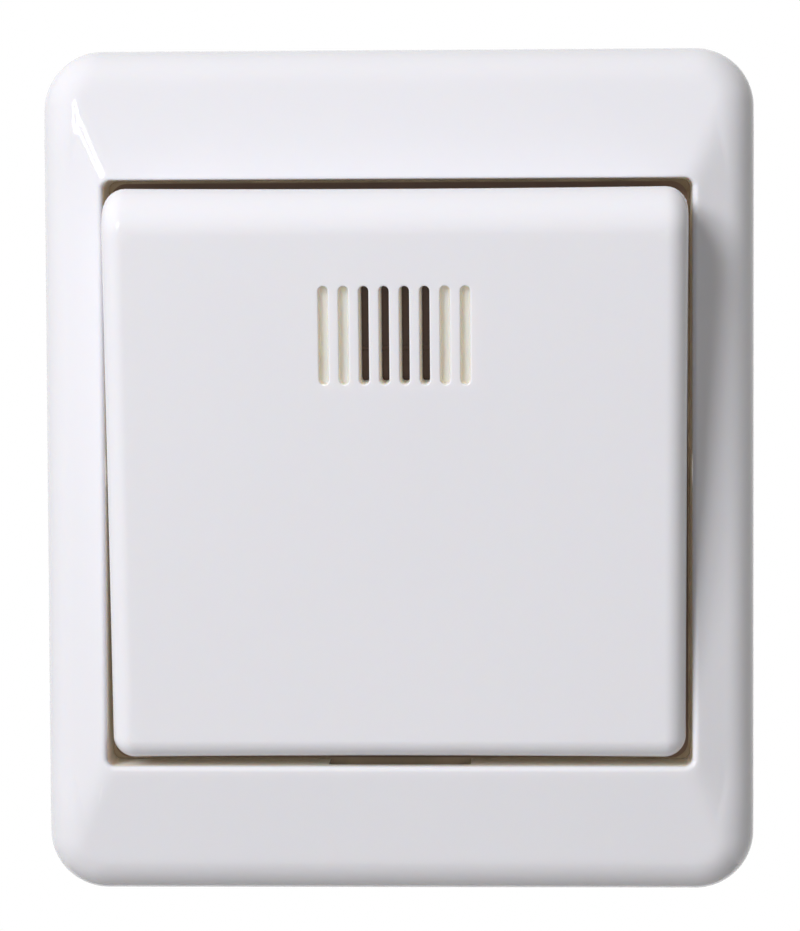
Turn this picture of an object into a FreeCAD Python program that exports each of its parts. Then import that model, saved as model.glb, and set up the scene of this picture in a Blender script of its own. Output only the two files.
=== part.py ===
import FreeCAD, Part
import math
import os

import Sketcher

# Illuminated push button for a flush wall box, in millimetres.
# X is to the right, Z is up, and the front faces -Y. The wall plane is Y = 0, so a
# height in front of the wall is -Y, and what lies inside the wall box has a height below 0.

doc = FreeCAD.newDocument("PushButton")
Vector = FreeCAD.Vector

# Driving dimensions, one row of the sheet each
drivingSizes = {
    # Cover frame
    "frame_side_width": 7.55,
    "frame_end_width": 15.55,
    "frame_corner": 7.0,
    "frame_wall": 2.0,
    "frame_crown": 2.2,
    "frame_edge_round": 5.0,
    "mitre_round": 6.0,
    "lip_height": 9.0,
    "slope_foot_height": 6.16,
    "lip_round": 0.3,
    "opening_size": 69.9,
    "opening_corner": 1.0,
    "skirt_wall": 1.5,
    "skirt_gap": 0.3,
    "notch_width": 17.0,
    "notch_rise": 5.2,
    # Rocker cap, measured from the pivot axis
    "rocker_side_gap": 0.8,
    "rocker_low_gap": 1.15,
    "rocker_high_gap": 0.5,
    "rocker_edge_round": 2.6,
    "rocker_top_round": 5.0,
    "rocker_wall": 1.8,
    "rocker_plate": 2.2,
    "face_rise": 4.7,
    "skirt_low_depth": 6.0,
    "skirt_high_depth": 11.6,
    "rest_tilt": 8.0,
    "press_angle": 8.0,
    "pivot_height": 10.6,
    # Slots in the rocker's face
    "slot_count": 8,
    "open_slot_count": 4,
    "slot_spacing": 2.36,
    "slot_width": 1.15,
    "slot_length": 11.6,
    "slot_place": 17.4,
    "blind_slot_depth": 1.2,
    # Light window behind the open slots
    "window_thick": 1.3,
    "window_margin": 0.9,
    "window_rib": 1.0,
    "window_rib_reach": 0.3,
    # Carrier and its pivot
    "carrier_thick": 2.0,
    "carrier_half_width": 20.2,
    "carrier_below": 14.0,
    "carrier_above": 16.0,
    "lamp_gap_half": 6.6,
    "lamp_gap_start": 8.0,
    "hub_round": 2.1,
    "hub_length": 3.4,
    "pin_radius": 1.0,
    "pin_overhang": 0.3,
    "hook_thick": 1.4,
    "hook_barb": 0.5,
    "hook_length": 5.0,
    "hook_low_place": 10.0,
    "hook_high_place": 11.0,
    # Fits
    "running_gap": 0.05,
    "seat_gap": 0.1,
    "free_gap": 0.3,
    # Support ring
    "ring_thick": 1.2,
    "ring_corner": 3.0,
    "ring_margin": 2.0,
    "ring_seat": 1.0,
    "box_screw_spacing": 60.0,
    "box_slot_radius": 2.1,
    "box_slot_length": 8.0,
    # Mechanism cover
    "plate_side_gap": 0.3,
    "plate_thick": 1.5,
    "plate_corner": 2.0,
    "access_radius": 3.9,
    "ear_thick": 2.8,
    "ear_round": 1.9,
    "ear_foot_half": 4.5,
    "lamp_house_gap": 1.1,
    "lamp_house_low": 9.0,
    "lamp_house_high": 27.0,
    "lamp_house_height": 10.0,
    "lamp_house_wall": 0.9,
    # Plungers and their springs
    "plunger_inset": 10.0,
    "plunger_arm": 10.0,
    "stem_radius": 1.9,
    "head_radius": 3.0,
    "head_dome": 5.0,
    "head_rim": 0.76,
    "tip_radius": 0.6,
    "tip_cone": 0.95,
    "guide_round": 4.3,
    "guide_bore": 3.3,
    "guide_rise": 3.7,
    "spring_radius": 2.6,
    "spring_wire": 0.25,
    "spring_turns": 5,
    # Mechanism base
    "base_size": 41.0,
    "base_depth": 24.0,
    "base_corner": 3.0,
    "chamber_half": 3.9,
    "chamber_low": 10.4,
    "chamber_high": 16.0,
    "chamber_floor": 10.0,
    # Switch contacts
    "blade_thick": 0.5,
    "blade_half": 2.5,
    "blade_pivot_place": 8.0,
    "blade_end": 14.8,
    "blade_top_depth": 1.35,
    "blade_hub": 1.1,
    "contact_pin_radius": 0.6,
    "contact_place": 13.0,
    "contact_radius": 1.3,
    "contact_button": 0.6,
    "strip_thick": 0.8,
    "strip_half": 2.0,
    "fixed_strip_place": 15.0,
    "bracket_place": 9.4,
    "bracket_top_depth": 0.4,
    "contact_spring_place": 2.0,
    "contact_spring_radius": 1.6,
    "contact_spring_wire": 0.2,
    "contact_spring_turns": 5,
    "spring_post_radius": 1.0,
    "spring_post_rise": 2.5,
    # Terminals
    "clamp_offset": 1.5,
    "clamp_place_z": 13.2,
    "clamp_width": 7.0,
    "clamp_tall": 8.0,
    "clamp_front_depth": 14.0,
    "clamp_length": 7.5,
    "wire_bore": 1.5,
    "wire_bore_depth": 6.0,
    "wire_axis_depth": 18.4,
    "wire_entry": 2.0,
    "clamp_screw_radius": 1.5,
    "clamp_head_radius": 2.6,
    "clamp_head": 1.6,
    "screw_slot_width": 0.8,
    # Cover screws
    "cover_screw_inset_x": 3.7,
    "cover_screw_inset_z": 5.5,
    "cover_screw_radius": 1.2,
    "cover_screw_head_radius": 2.4,
    "cover_screw_head": 1.5,
    "cover_screw_reach": 8.0,
    # Spreader claws
    "claw_stand": 4.0,
    "claw_place_z": 10.0,
    "claw_half": 4.0,
    "claw_thick": 1.0,
    "claw_reach": 8.0,
    "claw_depth": 17.0,
    "claw_tooth": 6.4,
    "claw_fork_reach": 5.8,
    "claw_travel": 3.0,
    "ramp_reach": 5.5,
    "ramp_front_depth": 9.5,
    "ramp_gap": 0.4,
    "claw_screw_radius": 1.5,
    "claw_screw_head_radius": 3.1,
    "claw_screw_head": 1.9,
    "claw_screw_end_depth": 22.0,
    "claw_nut_half": 2.5,
    "claw_nut_thick": 2.3,
    # Frame clips
    "clip_half": 5.0,
    "clip_thick": 0.4,
    "clip_lean": 1.2,
    "clip_foot": 4.1,
    "clip_rise": 4.2,
    "clip_rivet_radius": 1.2,
    "clip_rivet_head_radius": 1.8,
    "clip_rivet_head": 0.7,
    # Glow lamp and its resistor
    "lamp_radius": 2.6,
    "lamp_glass": 0.5,
    "lamp_low": 12.6,
    "lamp_high": 24.6,
    "electrode_radius": 0.45,
    "electrode_place": 1.0,
    "electrode_length": 8.0,
    "lead_radius": 0.3,
    "lead_bend": 0.9,
    "lead_drop_place": 11.3,
    "resistor_radius": 1.3,
    "resistor_waist": 1.1,
    "resistor_cap": 1.5,
    "resistor_length": 7.5,
    "resistor_depth": 5.2,
}


class Formula:
    # A length worked out from the sheet: its text for an expression, and its number now
    def __init__(self, text, number):
        self.text = text
        self.number = number

    def joined(self, sign, other, number):
        return Formula("(%s %s %s)" % (self.text, sign, other.text), number)

    def __add__(self, other):
        other = asFormula(other)
        return self.joined("+", other, self.number + other.number)

    def __sub__(self, other):
        other = asFormula(other)
        return self.joined("-", other, self.number - other.number)

    def __mul__(self, other):
        other = asFormula(other)
        return self.joined("*", other, self.number * other.number)

    def __truediv__(self, other):
        other = asFormula(other)
        return self.joined("/", other, self.number / other.number)

    def __radd__(self, other):
        return asFormula(other) + self

    def __rsub__(self, other):
        return asFormula(other) - self

    def __rmul__(self, other):
        return asFormula(other) * self

    def __neg__(self):
        return asFormula(0) - self

    def __float__(self):
        return float(self.number)


def asFormula(value):
    if isinstance(value, Formula):
        return value
    return Formula("%.6f" % value, float(value))


def cosine(angle):
    return Formula("cos(%s * 1 deg)" % angle.text, math.cos(math.radians(angle.number)))


def tangent(angle):
    return Formula("tan(%s * 1 deg)" % angle.text, math.tan(math.radians(angle.number)))


def bind(item, name, value):
    item.setExpression(name, asFormula(value).text)


class Sizes:
    pass


def makeSheet():
    sheet = doc.addObject("Spreadsheet::Sheet", "Sizes")
    for row, (name, value) in enumerate(drivingSizes.items(), start=1):
        sheet.set("A%d" % row, name)
        sheet.set("B%d" % row, str(value))
        sheet.setAlias("B%d" % row, name)
    doc.recompute()
    sizes = Sizes()
    for name in drivingSizes:
        setattr(sizes, name, Formula("Sizes." + name, float(sheet.get(name))))
    return sizes


size = makeSheet()

# Plane of each view, and how a drawn point lies on it:
# face holds (x, z) at a height, side holds (z, height) at an x, plan holds (x, height) at a z
viewPlanes = {"face": "XZ_Plane", "side": "YZ_Plane", "plan": "XY_Plane"}


class Drawing:
    def __init__(self, body, name, view, offset=0, shift=0):
        self.view = view
        self.sketch = body.newObject("Sketcher::SketchObject", name)
        planes = [item for item in body.Origin.OriginFeatures if item.Role == viewPlanes[view]]
        self.sketch.AttachmentSupport = [(planes[0], "")]
        self.sketch.MapMode = "FlatFace"
        bind(self.sketch, "AttachmentOffset.Base.z", offset)
        bind(self.sketch, "AttachmentOffset.Base.x", shift)

    def onPlane(self, across, along):
        if self.view == "face":
            return asFormula(across), asFormula(along)
        if self.view == "side":
            return -asFormula(along), asFormula(across)
        return asFormula(across), -asFormula(along)

    def fix(self, geometry, point, x, y):
        for kind, distance in (("DistanceX", x), ("DistanceY", y)):
            rule = Sketcher.Constraint(kind, -1, 1, geometry, point, float(distance))
            index = self.sketch.addConstraint(rule)
            bind(self.sketch, "Constraints[%d]" % index, distance)

    def outline(self, points):
        first = self.sketch.GeometryCount
        places = [self.onPlane(*point) for point in points]
        corners = [Vector(float(x), float(y), 0) for x, y in places]
        for start, end in zip(corners, corners[1:] + corners[:1]):
            self.sketch.addGeometry(Part.LineSegment(start, end), False)
        for index, (x, y) in enumerate(places):
            before = first + (index - 1) % len(places)
            self.sketch.addConstraint(Sketcher.Constraint("Coincident", before, 2, first + index, 1))
            self.fix(first + index, 1, x, y)
        return self

    def box(self, left, right, low, high):
        return self.outline([(left, low), (right, low), (right, high), (left, high)])

    def middleBox(self, width, tall):
        return self.box(-width / 2, width / 2, -tall / 2, tall / 2)

    def circle(self, across, along, radius):
        x, y = self.onPlane(across, along)
        center = Vector(float(x), float(y), 0)
        index = self.sketch.addGeometry(Part.Circle(center, Vector(0, 0, 1), float(radius)), False)
        self.fix(index, 3, x, y)
        rule = self.sketch.addConstraint(Sketcher.Constraint("Radius", index, float(radius)))
        bind(self.sketch, "Constraints[%d]" % rule, radius)
        return self

    def roundedBox(self, left, right, low, high, radius):
        # Straight sides first, then the four corner arcs that join them, drawn on the face view
        left, right, low, high, radius = [asFormula(v) for v in (left, right, low, high, radius)]
        sides = [
            (left + radius, low, right - radius, low),
            (right, low + radius, right, high - radius),
            (right - radius, high, left + radius, high),
            (left, high - radius, left, low + radius),
        ]
        centers = [
            (right - radius, low + radius),
            (right - radius, high - radius),
            (left + radius, high - radius),
            (left + radius, low + radius),
        ]
        first = self.sketch.GeometryCount
        for ends in sides:
            x0, y0, x1, y1 = [float(v) for v in ends]
            self.sketch.addGeometry(Part.LineSegment(Vector(x0, y0, 0), Vector(x1, y1, 0)), False)
        for quarter, (x, y) in enumerate(centers):
            circle = Part.Circle(Vector(float(x), float(y), 0), Vector(0, 0, 1), float(radius))
            start = (quarter - 1) * math.pi / 2
            self.sketch.addGeometry(Part.ArcOfCircle(circle, start, start + math.pi / 2), False)
        for index, (x0, y0, x1, y1) in enumerate(sides):
            arc = first + 4 + index
            after = first + (index + 1) % 4
            self.fix(first + index, 1, x0, y0)
            self.fix(first + index, 2, x1, y1)
            self.sketch.addConstraint(Sketcher.Constraint("Coincident", first + index, 2, arc, 1))
            self.sketch.addConstraint(Sketcher.Constraint("Coincident", after, 1, arc, 2))
            rule = self.sketch.addConstraint(Sketcher.Constraint("Radius", arc, float(radius)))
            bind(self.sketch, "Constraints[%d]" % rule, radius)
        return self

    def slot(self, across, along, width, length, upright):
        # A slot with round ends, its length measured over the ends, drawn on the face view
        radius = asFormula(width) / 2
        reach = asFormula(length) / 2 - radius
        turn = math.pi / 2 if upright else 0
        along, across = asFormula(along), asFormula(across)
        if upright:
            far, near = (across, along + reach), (across, along - reach)
            edges = [((across + radius, near[1]), (across + radius, far[1]))]
            edges.append(((across - radius, far[1]), (across - radius, near[1])))
        else:
            far, near = (across + reach, along), (across - reach, along)
            edges = [((near[0], along - radius), (far[0], along - radius))]
            edges.append(((far[0], along + radius), (near[0], along + radius)))
        first = self.sketch.GeometryCount
        for (x0, y0), (x1, y1) in edges:
            start = Vector(float(x0), float(y0), 0)
            self.sketch.addGeometry(Part.LineSegment(start, Vector(float(x1), float(y1), 0)), False)
        for center, begin in ((far, turn - math.pi / 2), (near, turn + math.pi / 2)):
            middle = Vector(float(center[0]), float(center[1]), 0)
            circle = Part.Circle(middle, Vector(0, 0, 1), float(radius))
            self.sketch.addGeometry(Part.ArcOfCircle(circle, begin, begin + math.pi), False)
        for index, ((x0, y0), (x1, y1)) in enumerate(edges):
            self.fix(first + index, 1, x0, y0)
            self.fix(first + index, 2, x1, y1)
        kind = "DistanceY" if upright else "DistanceX"
        for index, center in enumerate((far, near)):
            arc = first + 2 + index
            self.sketch.addConstraint(Sketcher.Constraint("Coincident", first + index, 2, arc, 1))
            self.sketch.addConstraint(Sketcher.Constraint("Coincident", first + 1 - index, 1, arc, 2))
            place = center[1] if upright else center[0]
            rule = self.sketch.addConstraint(Sketcher.Constraint(kind, -1, 1, arc, 3, float(place)))
            bind(self.sketch, "Constraints[%d]" % rule, place)
        return self


class Piece:
    # One body, built up from drawings
    def __init__(self, label):
        self.body = doc.addObject("PartDesign::Body", label)
        self.body.Label = label
        self.steps = 0

    def stepName(self, word):
        self.steps += 1
        return "%s_%s_%d" % (self.body.Name, word, self.steps)

    def draw(self, view, offset=0, shift=0):
        return Drawing(self.body, self.stepName("sketch"), view, offset, shift)

    def add(self, kind, drawing):
        feature = self.body.newObject("PartDesign::" + kind, self.stepName(kind.lower()))
        feature.Profile = drawing.sketch
        return feature

    def extrude(self, kind, drawing, length, both, reverse):
        feature = self.add(kind, drawing)
        bind(feature, "Length", length)
        feature.SideType = "Symmetric" if both else "One side"
        feature.Reversed = reverse
        return feature

    def pad(self, drawing, length, both=False, reverse=False):
        return self.extrude("Pad", drawing, length, both, reverse)

    def cut(self, drawing, depth, both=False, reverse=False):
        return self.extrude("Pocket", drawing, depth, both, reverse)

    def revolve(self, drawing):
        feature = self.add("Revolution", drawing)
        feature.ReferenceAxis = (drawing.sketch, ["V_Axis"])
        feature.Angle = 360
        return feature

    def loft(self, kind, drawings):
        feature = self.add(kind, drawings[0])
        feature.Sections = [drawing.sketch for drawing in drawings[1:]]
        feature.Ruled = True
        return feature

    def roundEdges(self, radius, chosen, kind="Fillet"):
        doc.recompute()
        base = self.body.Tip
        edges = base.Shape.Edges
        names = ["Edge%d" % (index + 1) for index, edge in enumerate(edges) if chosen(edge.BoundBox)]
        if not names:
            raise RuntimeError("no edges to round on " + self.body.Label)
        feature = self.body.newObject("PartDesign::" + kind, self.stepName(kind.lower()))
        feature.Base = (base, names)
        bind(feature, "Radius" if kind == "Fillet" else "Size", radius)
        return feature


# Lengths within this of each other count as one when edges are picked
slack = 0.01


def close(value, target):
    return abs(value - float(target)) < slack


def flatAt(box, height):
    # An edge that lies wholly at one height in front of the wall
    return close(-box.YMin, height) and close(-box.YMax, height)


def upright(box):
    # An edge that runs square to the wall
    return box.YLength > slack and box.XLength < slack and box.ZLength < slack


# Heights in front of the wall that several pieces share
ringFront = size.ring_thick
plateFront = ringFront + size.plate_thick
frameSkirtEnd = ringFront + size.skirt_gap
halfOpening = size.opening_size / 2
halfFrameWide = halfOpening + size.frame_side_width
halfFrameTall = halfOpening + size.frame_end_width
halfRocker = halfOpening - size.rocker_side_gap
rockerLow = size.rocker_low_gap - halfOpening
rockerHigh = halfOpening - size.rocker_high_gap
halfPlate = halfOpening - size.plate_side_gap
# Places of the frame clips, which press on the outside of the frame's skirt
clipPress = halfOpening + size.skirt_wall + size.seat_gap
clipNear = clipPress + size.clip_lean
clipFar = clipNear + size.clip_foot
clipRivetPlace = (clipNear + size.clip_thick + clipFar) / 2
# Half sizes of the support ring and its opening, and what lies beside the base
halfRingWide = (size.box_screw_spacing + size.box_slot_length) / 2 + size.ring_margin
halfRingTall = clipFar + size.ring_margin / 2
halfBase = size.base_size / 2
halfRingOpening = halfBase - size.ring_seat
plungerX = halfBase - size.plunger_inset
lampHouseHalf = plungerX - size.guide_bore - size.lamp_house_gap
clampX = plungerX + size.clamp_offset
coverScrewX = halfBase - size.cover_screw_inset_x
coverScrewZ = halfBase - size.cover_screw_inset_z
clawX = halfBase + size.claw_stand
clawInner = halfBase + size.ramp_gap
clawOuter = halfBase + size.claw_reach
# Heights above the pivot axis, square to the rocker's face
ceilingRise = size.face_rise - size.rocker_plate
carrierUnder = ceilingRise - size.carrier_thick
# Plunger travel for the whole press, from the arm and the press angle
pressTurn = size.press_angle * (math.pi / 180)
plungerTravel = size.plunger_arm * pressTurn
# Highest point of a plunger's dome when it just meets the tilted carrier
domeReach = (carrierUnder - size.head_dome) / cosine(size.rest_tilt)
domeTop = size.pivot_height + domeReach + size.plunger_arm * tangent(size.rest_tilt) + size.head_dome
plungerTop = domeTop - size.seat_gap
domeDrop = size.head_dome - Formula(
    "sqrt(%s)" % (size.head_dome * size.head_dome - size.head_radius * size.head_radius).text,
    math.sqrt(float(size.head_dome) ** 2 - float(size.head_radius) ** 2),
)
plungerShoulder = plungerTop - domeDrop - size.head_rim
slotMiddle = size.slot_place
windowLow = slotMiddle - size.slot_length / 2 - size.window_margin
windowHigh = slotMiddle + size.slot_length / 2 + size.window_margin
openHalf = (size.open_slot_count - 1) * size.slot_spacing / 2 + size.slot_width / 2
windowHalf = openHalf + size.window_margin
earInner = size.carrier_half_width + size.free_gap


def makeCoverFrame():
    frame = Piece("cover_frame")
    halfWidth, halfTall = halfFrameWide, halfFrameTall
    drawing = frame.draw("face").middleBox(halfWidth * 2, halfTall * 2)
    frame.pad(drawing, size.lip_height)
    frame.roundEdges(size.frame_corner, upright)
    # Four slopes fall from the lip to the outer edge and meet in mitres
    for view, half, halfSpan in (("side", halfTall, halfWidth), ("plan", halfWidth, halfTall)):
        drawing = frame.draw(view)
        above = size.lip_height + size.frame_wall
        beyond = half + size.frame_wall
        steepness = (size.lip_height - size.slope_foot_height) / (half - halfOpening)
        fall = steepness * size.frame_wall
        for sign in (1, -1):
            drawing.outline([
                (sign * halfOpening, size.lip_height),
                (sign * beyond, size.slope_foot_height - fall),
                (sign * beyond, above),
                (sign * halfOpening, above),
            ])
        frame.cut(drawing, halfSpan * 4, both=True)
    lip = float(size.lip_height)
    edge = float(size.slope_foot_height)
    frame.roundEdges(size.mitre_round, lambda box: close(-box.YMin, lip) and box.YLength > slack)

    def outerTopEdge(box):
        onSide = close(max(abs(box.XMin), abs(box.XMax)), halfWidth)
        onEnd = close(max(abs(box.ZMin), abs(box.ZMax)), halfTall)
        return (onSide or onEnd) and -box.YMax > edge - slack and -box.YMin < lip - slack

    frame.roundEdges(size.frame_edge_round, outerTopEdge)
    # The hollow follows the slopes, a crown thickness below them
    hollowCorner = size.frame_corner - size.frame_wall
    sections = []
    for height, wide, tall in (
        (asFormula(0), halfWidth - size.frame_wall, halfTall - size.frame_wall),
        (size.slope_foot_height - size.frame_crown, halfWidth - size.frame_wall, halfTall - size.frame_wall),
        (size.lip_height - size.frame_crown, halfOpening + size.skirt_wall, halfOpening + size.skirt_wall),
    ):
        sections.append(frame.draw("face", height).roundedBox(-wide, wide, -tall, tall, hollowCorner))
    frame.loft("SubtractiveLoft", sections)
    # The skirt stands round the opening, then the opening goes right through
    skirt = size.opening_size + size.skirt_wall * 2
    skirtRise = size.lip_height - size.frame_crown - frameSkirtEnd
    frame.pad(frame.draw("face", frameSkirtEnd).middleBox(skirt, skirt), skirtRise)
    opening = frame.draw("face", size.lip_height)
    opening.roundedBox(-halfOpening, halfOpening, -halfOpening, halfOpening, size.opening_corner)
    frame.cut(opening, size.lip_height)
    # A notch in the lower skirt lets a blade reach the clip
    half = size.notch_width / 2
    notch = frame.draw("face", frameSkirtEnd + size.notch_rise)
    notch.box(-half, half, -halfOpening - size.skirt_wall - size.free_gap, -halfOpening + size.free_gap)
    frame.cut(notch, size.notch_rise)
    inside = float(halfOpening) + slack
    lipFoot = lip - float(size.lip_round)

    def lipEdge(box):
        reach = max(abs(box.XMin), abs(box.XMax), abs(box.ZMin), abs(box.ZMax))
        return reach < inside and -box.YMax > lipFoot

    frame.roundEdges(size.lip_round, lipEdge)
    return frame.body


def tiltOnPivot(body):
    # The rocker's pieces are drawn round the pivot axis, then tilted to their rest place
    body.Placement = FreeCAD.Placement(Vector(), FreeCAD.Rotation(Vector(1, 0, 0), float(size.rest_tilt)))
    bind(body, "Placement.Base.y", -size.pivot_height)
    bind(body, "Placement.Rotation.Angle", size.rest_tilt)


def makeButtonRocker():
    rocker = Piece("button_rocker")
    lowEnd = size.face_rise - size.skirt_low_depth
    highEnd = size.face_rise - size.skirt_high_depth
    # The upper end leans in toward its foot, so that it stands square to the wall at rest
    lean = tangent(size.rest_tilt)
    highTop = rockerHigh + lean * size.rocker_edge_round
    highFoot = highTop - lean * size.skirt_high_depth
    profile = rocker.draw("side").outline([
        (rockerLow, lowEnd),
        (highFoot, highEnd),
        (highTop, size.face_rise),
        (rockerLow, size.face_rise),
    ])
    rocker.pad(profile, halfRocker * 2, both=True)

    def faceEnd(box, upper):
        # The edge of the face at its upper or its lower end
        return flatAt(box, size.face_rise) and box.ZLength < slack and (box.ZMin > 0) == upper

    def outsideEdge(box):
        # Every edge of the sides and the lower end of the face, but for the edges round the foot
        foot = close(-box.YMin, lowEnd) and close(-box.YMax, highEnd)
        onSide = close(box.XMin, box.XMax) and close(abs(box.XMin), halfRocker)
        return not foot and (onSide or faceEnd(box, False))

    rocker.roundEdges(size.rocker_top_round, lambda box: faceEnd(box, True))
    rocker.roundEdges(size.rocker_edge_round, outsideEdge)
    inner = halfRocker - size.rocker_wall
    corner = size.rocker_edge_round - size.rocker_wall
    hollow = rocker.draw("face", ceilingRise)
    hollow.roundedBox(-inner, inner, rockerLow + size.rocker_wall, highFoot - size.rocker_wall, corner)
    rocker.cut(hollow, halfRocker)
    # The slots stand in a row, the middle ones right through and the outer ones blind
    count = int(float(size.slot_count))
    opened = int(float(size.open_slot_count))
    for depth, isOpen in ((size.rocker_plate + size.free_gap, True), (size.blind_slot_depth, False)):
        drawing = rocker.draw("face", size.face_rise)
        for index in range(count):
            place = index - (count - 1) / 2
            if (abs(place) < opened / 2) == isOpen:
                drawing.slot(place * size.slot_spacing, slotMiddle, size.slot_width, size.slot_length, True)
        rocker.cut(drawing, depth)
    # Ribs either side of the light window
    ribs = rocker.draw("face", ceilingRise + size.free_gap)
    for sign in (1, -1):
        near = sign * (windowHalf + size.seat_gap)
        ribs.box(near, near + sign * size.window_rib, windowLow, windowHigh)
    ribDepth = size.window_thick + size.window_rib_reach + size.free_gap
    rocker.pad(ribs, ribDepth, reverse=True)
    # Hooks that snap under the carrier's sides
    barbTop = carrierUnder - size.seat_gap
    barbEnd = barbTop - size.hook_thick / 2
    grip = size.carrier_half_width + size.seat_gap
    for place in (-size.hook_low_place, size.hook_high_place):
        hooks = rocker.draw("plan", place)
        for sign in (1, -1):
            hooks.outline([
                (sign * grip, ceilingRise + size.free_gap),
                (sign * (grip + size.hook_thick), ceilingRise + size.free_gap),
                (sign * (grip + size.hook_thick), barbEnd),
                (sign * (grip - size.hook_barb), barbEnd),
                (sign * (grip - size.hook_barb), barbTop),
                (sign * grip, barbTop),
            ])
        rocker.pad(hooks, size.hook_length, both=True)
    tiltOnPivot(rocker.body)
    return rocker.body


def makeLightWindow():
    window = Piece("light_window")
    drawing = window.draw("face", ceilingRise - size.window_thick)
    window.pad(drawing.box(-windowHalf, windowHalf, windowLow, windowHigh), size.window_thick)
    tiltOnPivot(window.body)
    return window.body


def makeRockerCarrier():
    carrier = Piece("rocker_carrier")
    wide = size.carrier_half_width
    plate = carrier.draw("face", carrierUnder).outline([
        (-wide, -size.carrier_below),
        (wide, -size.carrier_below),
        (wide, size.carrier_above),
        (size.lamp_gap_half, size.carrier_above),
        (size.lamp_gap_half, size.lamp_gap_start),
        (-size.lamp_gap_half, size.lamp_gap_start),
        (-size.lamp_gap_half, size.carrier_above),
        (-wide, size.carrier_above),
    ])
    carrier.pad(plate, size.carrier_thick)
    for sign in (1, -1):
        hub = carrier.draw("side", sign * (wide - size.hub_length)).circle(0, 0, size.hub_round)
        carrier.pad(hub, size.hub_length, reverse=sign < 0)
    bore = carrier.draw("side").circle(0, 0, size.pin_radius + size.running_gap)
    carrier.cut(bore, wide * 2, both=True)
    tiltOnPivot(carrier.body)
    return carrier.body


def makePivotPin():
    pin = Piece("pivot_pin")
    drawing = pin.draw("side").circle(0, size.pivot_height, size.pin_radius)
    pin.pad(drawing, (earInner + size.ear_thick + size.pin_overhang) * 2, both=True)
    return pin.body


def makeSupportRing():
    ring = Piece("support_ring")
    wide, tall = halfRingWide, halfRingTall
    outline = ring.draw("face").roundedBox(-wide, wide, -tall, tall, size.ring_corner)
    ring.pad(outline, size.ring_thick)
    holes = ring.draw("face", ringFront).middleBox(halfRingOpening * 2, halfRingOpening * 2)
    for sign in (1, -1):
        slotPlace = sign * size.box_screw_spacing / 2
        holes.slot(slotPlace, 0, size.box_slot_radius * 2, size.box_slot_length, False)
        clawRadius = size.claw_screw_radius + size.free_gap
        holes.circle(sign * clawX, -sign * size.claw_place_z, clawRadius)
        holes.circle(0, sign * clipRivetPlace, size.clip_rivet_radius + size.running_gap)
    ring.cut(holes, size.ring_thick)
    return ring.body


def makeMechanismCover():
    cover = Piece("mechanism_cover")
    half = halfPlate
    outline = cover.draw("face", ringFront).roundedBox(-half, half, -half, half, size.plate_corner)
    cover.pad(outline, size.plate_thick)
    # Ears that hold the pivot pin
    sink = plateFront - size.plate_thick / 2
    for sign in (1, -1):
        ear = cover.draw("side", sign * earInner).outline([
            (-size.ear_foot_half, sink),
            (size.ear_foot_half, sink),
            (size.ear_round, size.pivot_height),
            (-size.ear_round, size.pivot_height),
        ])
        cover.pad(ear, size.ear_thick, reverse=sign < 0)
        top = cover.draw("side", sign * earInner).circle(0, size.pivot_height, size.ear_round)
        cover.pad(top, size.ear_thick, reverse=sign < 0)
    bore = cover.draw("side").circle(0, size.pivot_height, size.pin_radius + size.running_gap / 2)
    cover.cut(bore, halfPlate * 2, both=True)
    # Lamp house and the guides of the two plungers
    house = cover.draw("face", sink)
    house.box(-lampHouseHalf, lampHouseHalf, size.lamp_house_low, size.lamp_house_high)
    cover.pad(house, size.lamp_house_height - sink)
    guides = cover.draw("face", sink)
    for sign in (1, -1):
        guides.circle(sign * plungerX, size.plunger_arm, size.guide_round)
    cover.pad(guides, plateFront + size.guide_rise - sink)
    wall = size.lamp_house_wall
    lampRoom = cover.draw("face", size.lamp_house_height)
    innerHalf = lampHouseHalf - wall
    lampRoom.box(-innerHalf, innerHalf, size.lamp_house_low + wall, size.lamp_house_high - wall)
    cover.cut(lampRoom, size.lamp_house_height - plateFront)
    guideRoom = cover.draw("face", plateFront + size.guide_rise)
    for sign in (1, -1):
        guideRoom.circle(sign * plungerX, size.plunger_arm, size.guide_bore)
    cover.cut(guideRoom, size.guide_rise)
    # Bores for the stems, leads and screws, and room for a screwdriver at each box screw
    holes = cover.draw("face", plateFront)
    for sign in (1, -1):
        holes.circle(sign * plungerX, size.plunger_arm, size.stem_radius + size.running_gap * 2)
        holes.circle(sign * size.electrode_place, size.lead_drop_place, size.lead_radius + size.free_gap)
        holes.circle(sign * size.box_screw_spacing / 2, 0, size.access_radius)
        clawRadius = size.claw_screw_head_radius + size.free_gap * 2
        holes.circle(sign * clawX, -sign * size.claw_place_z, clawRadius)
        for up in (1, -1):
            screwRadius = size.cover_screw_radius + size.running_gap
            holes.circle(sign * coverScrewX, up * coverScrewZ, screwRadius)
    cover.cut(holes, size.plate_thick)
    return cover.body


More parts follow.
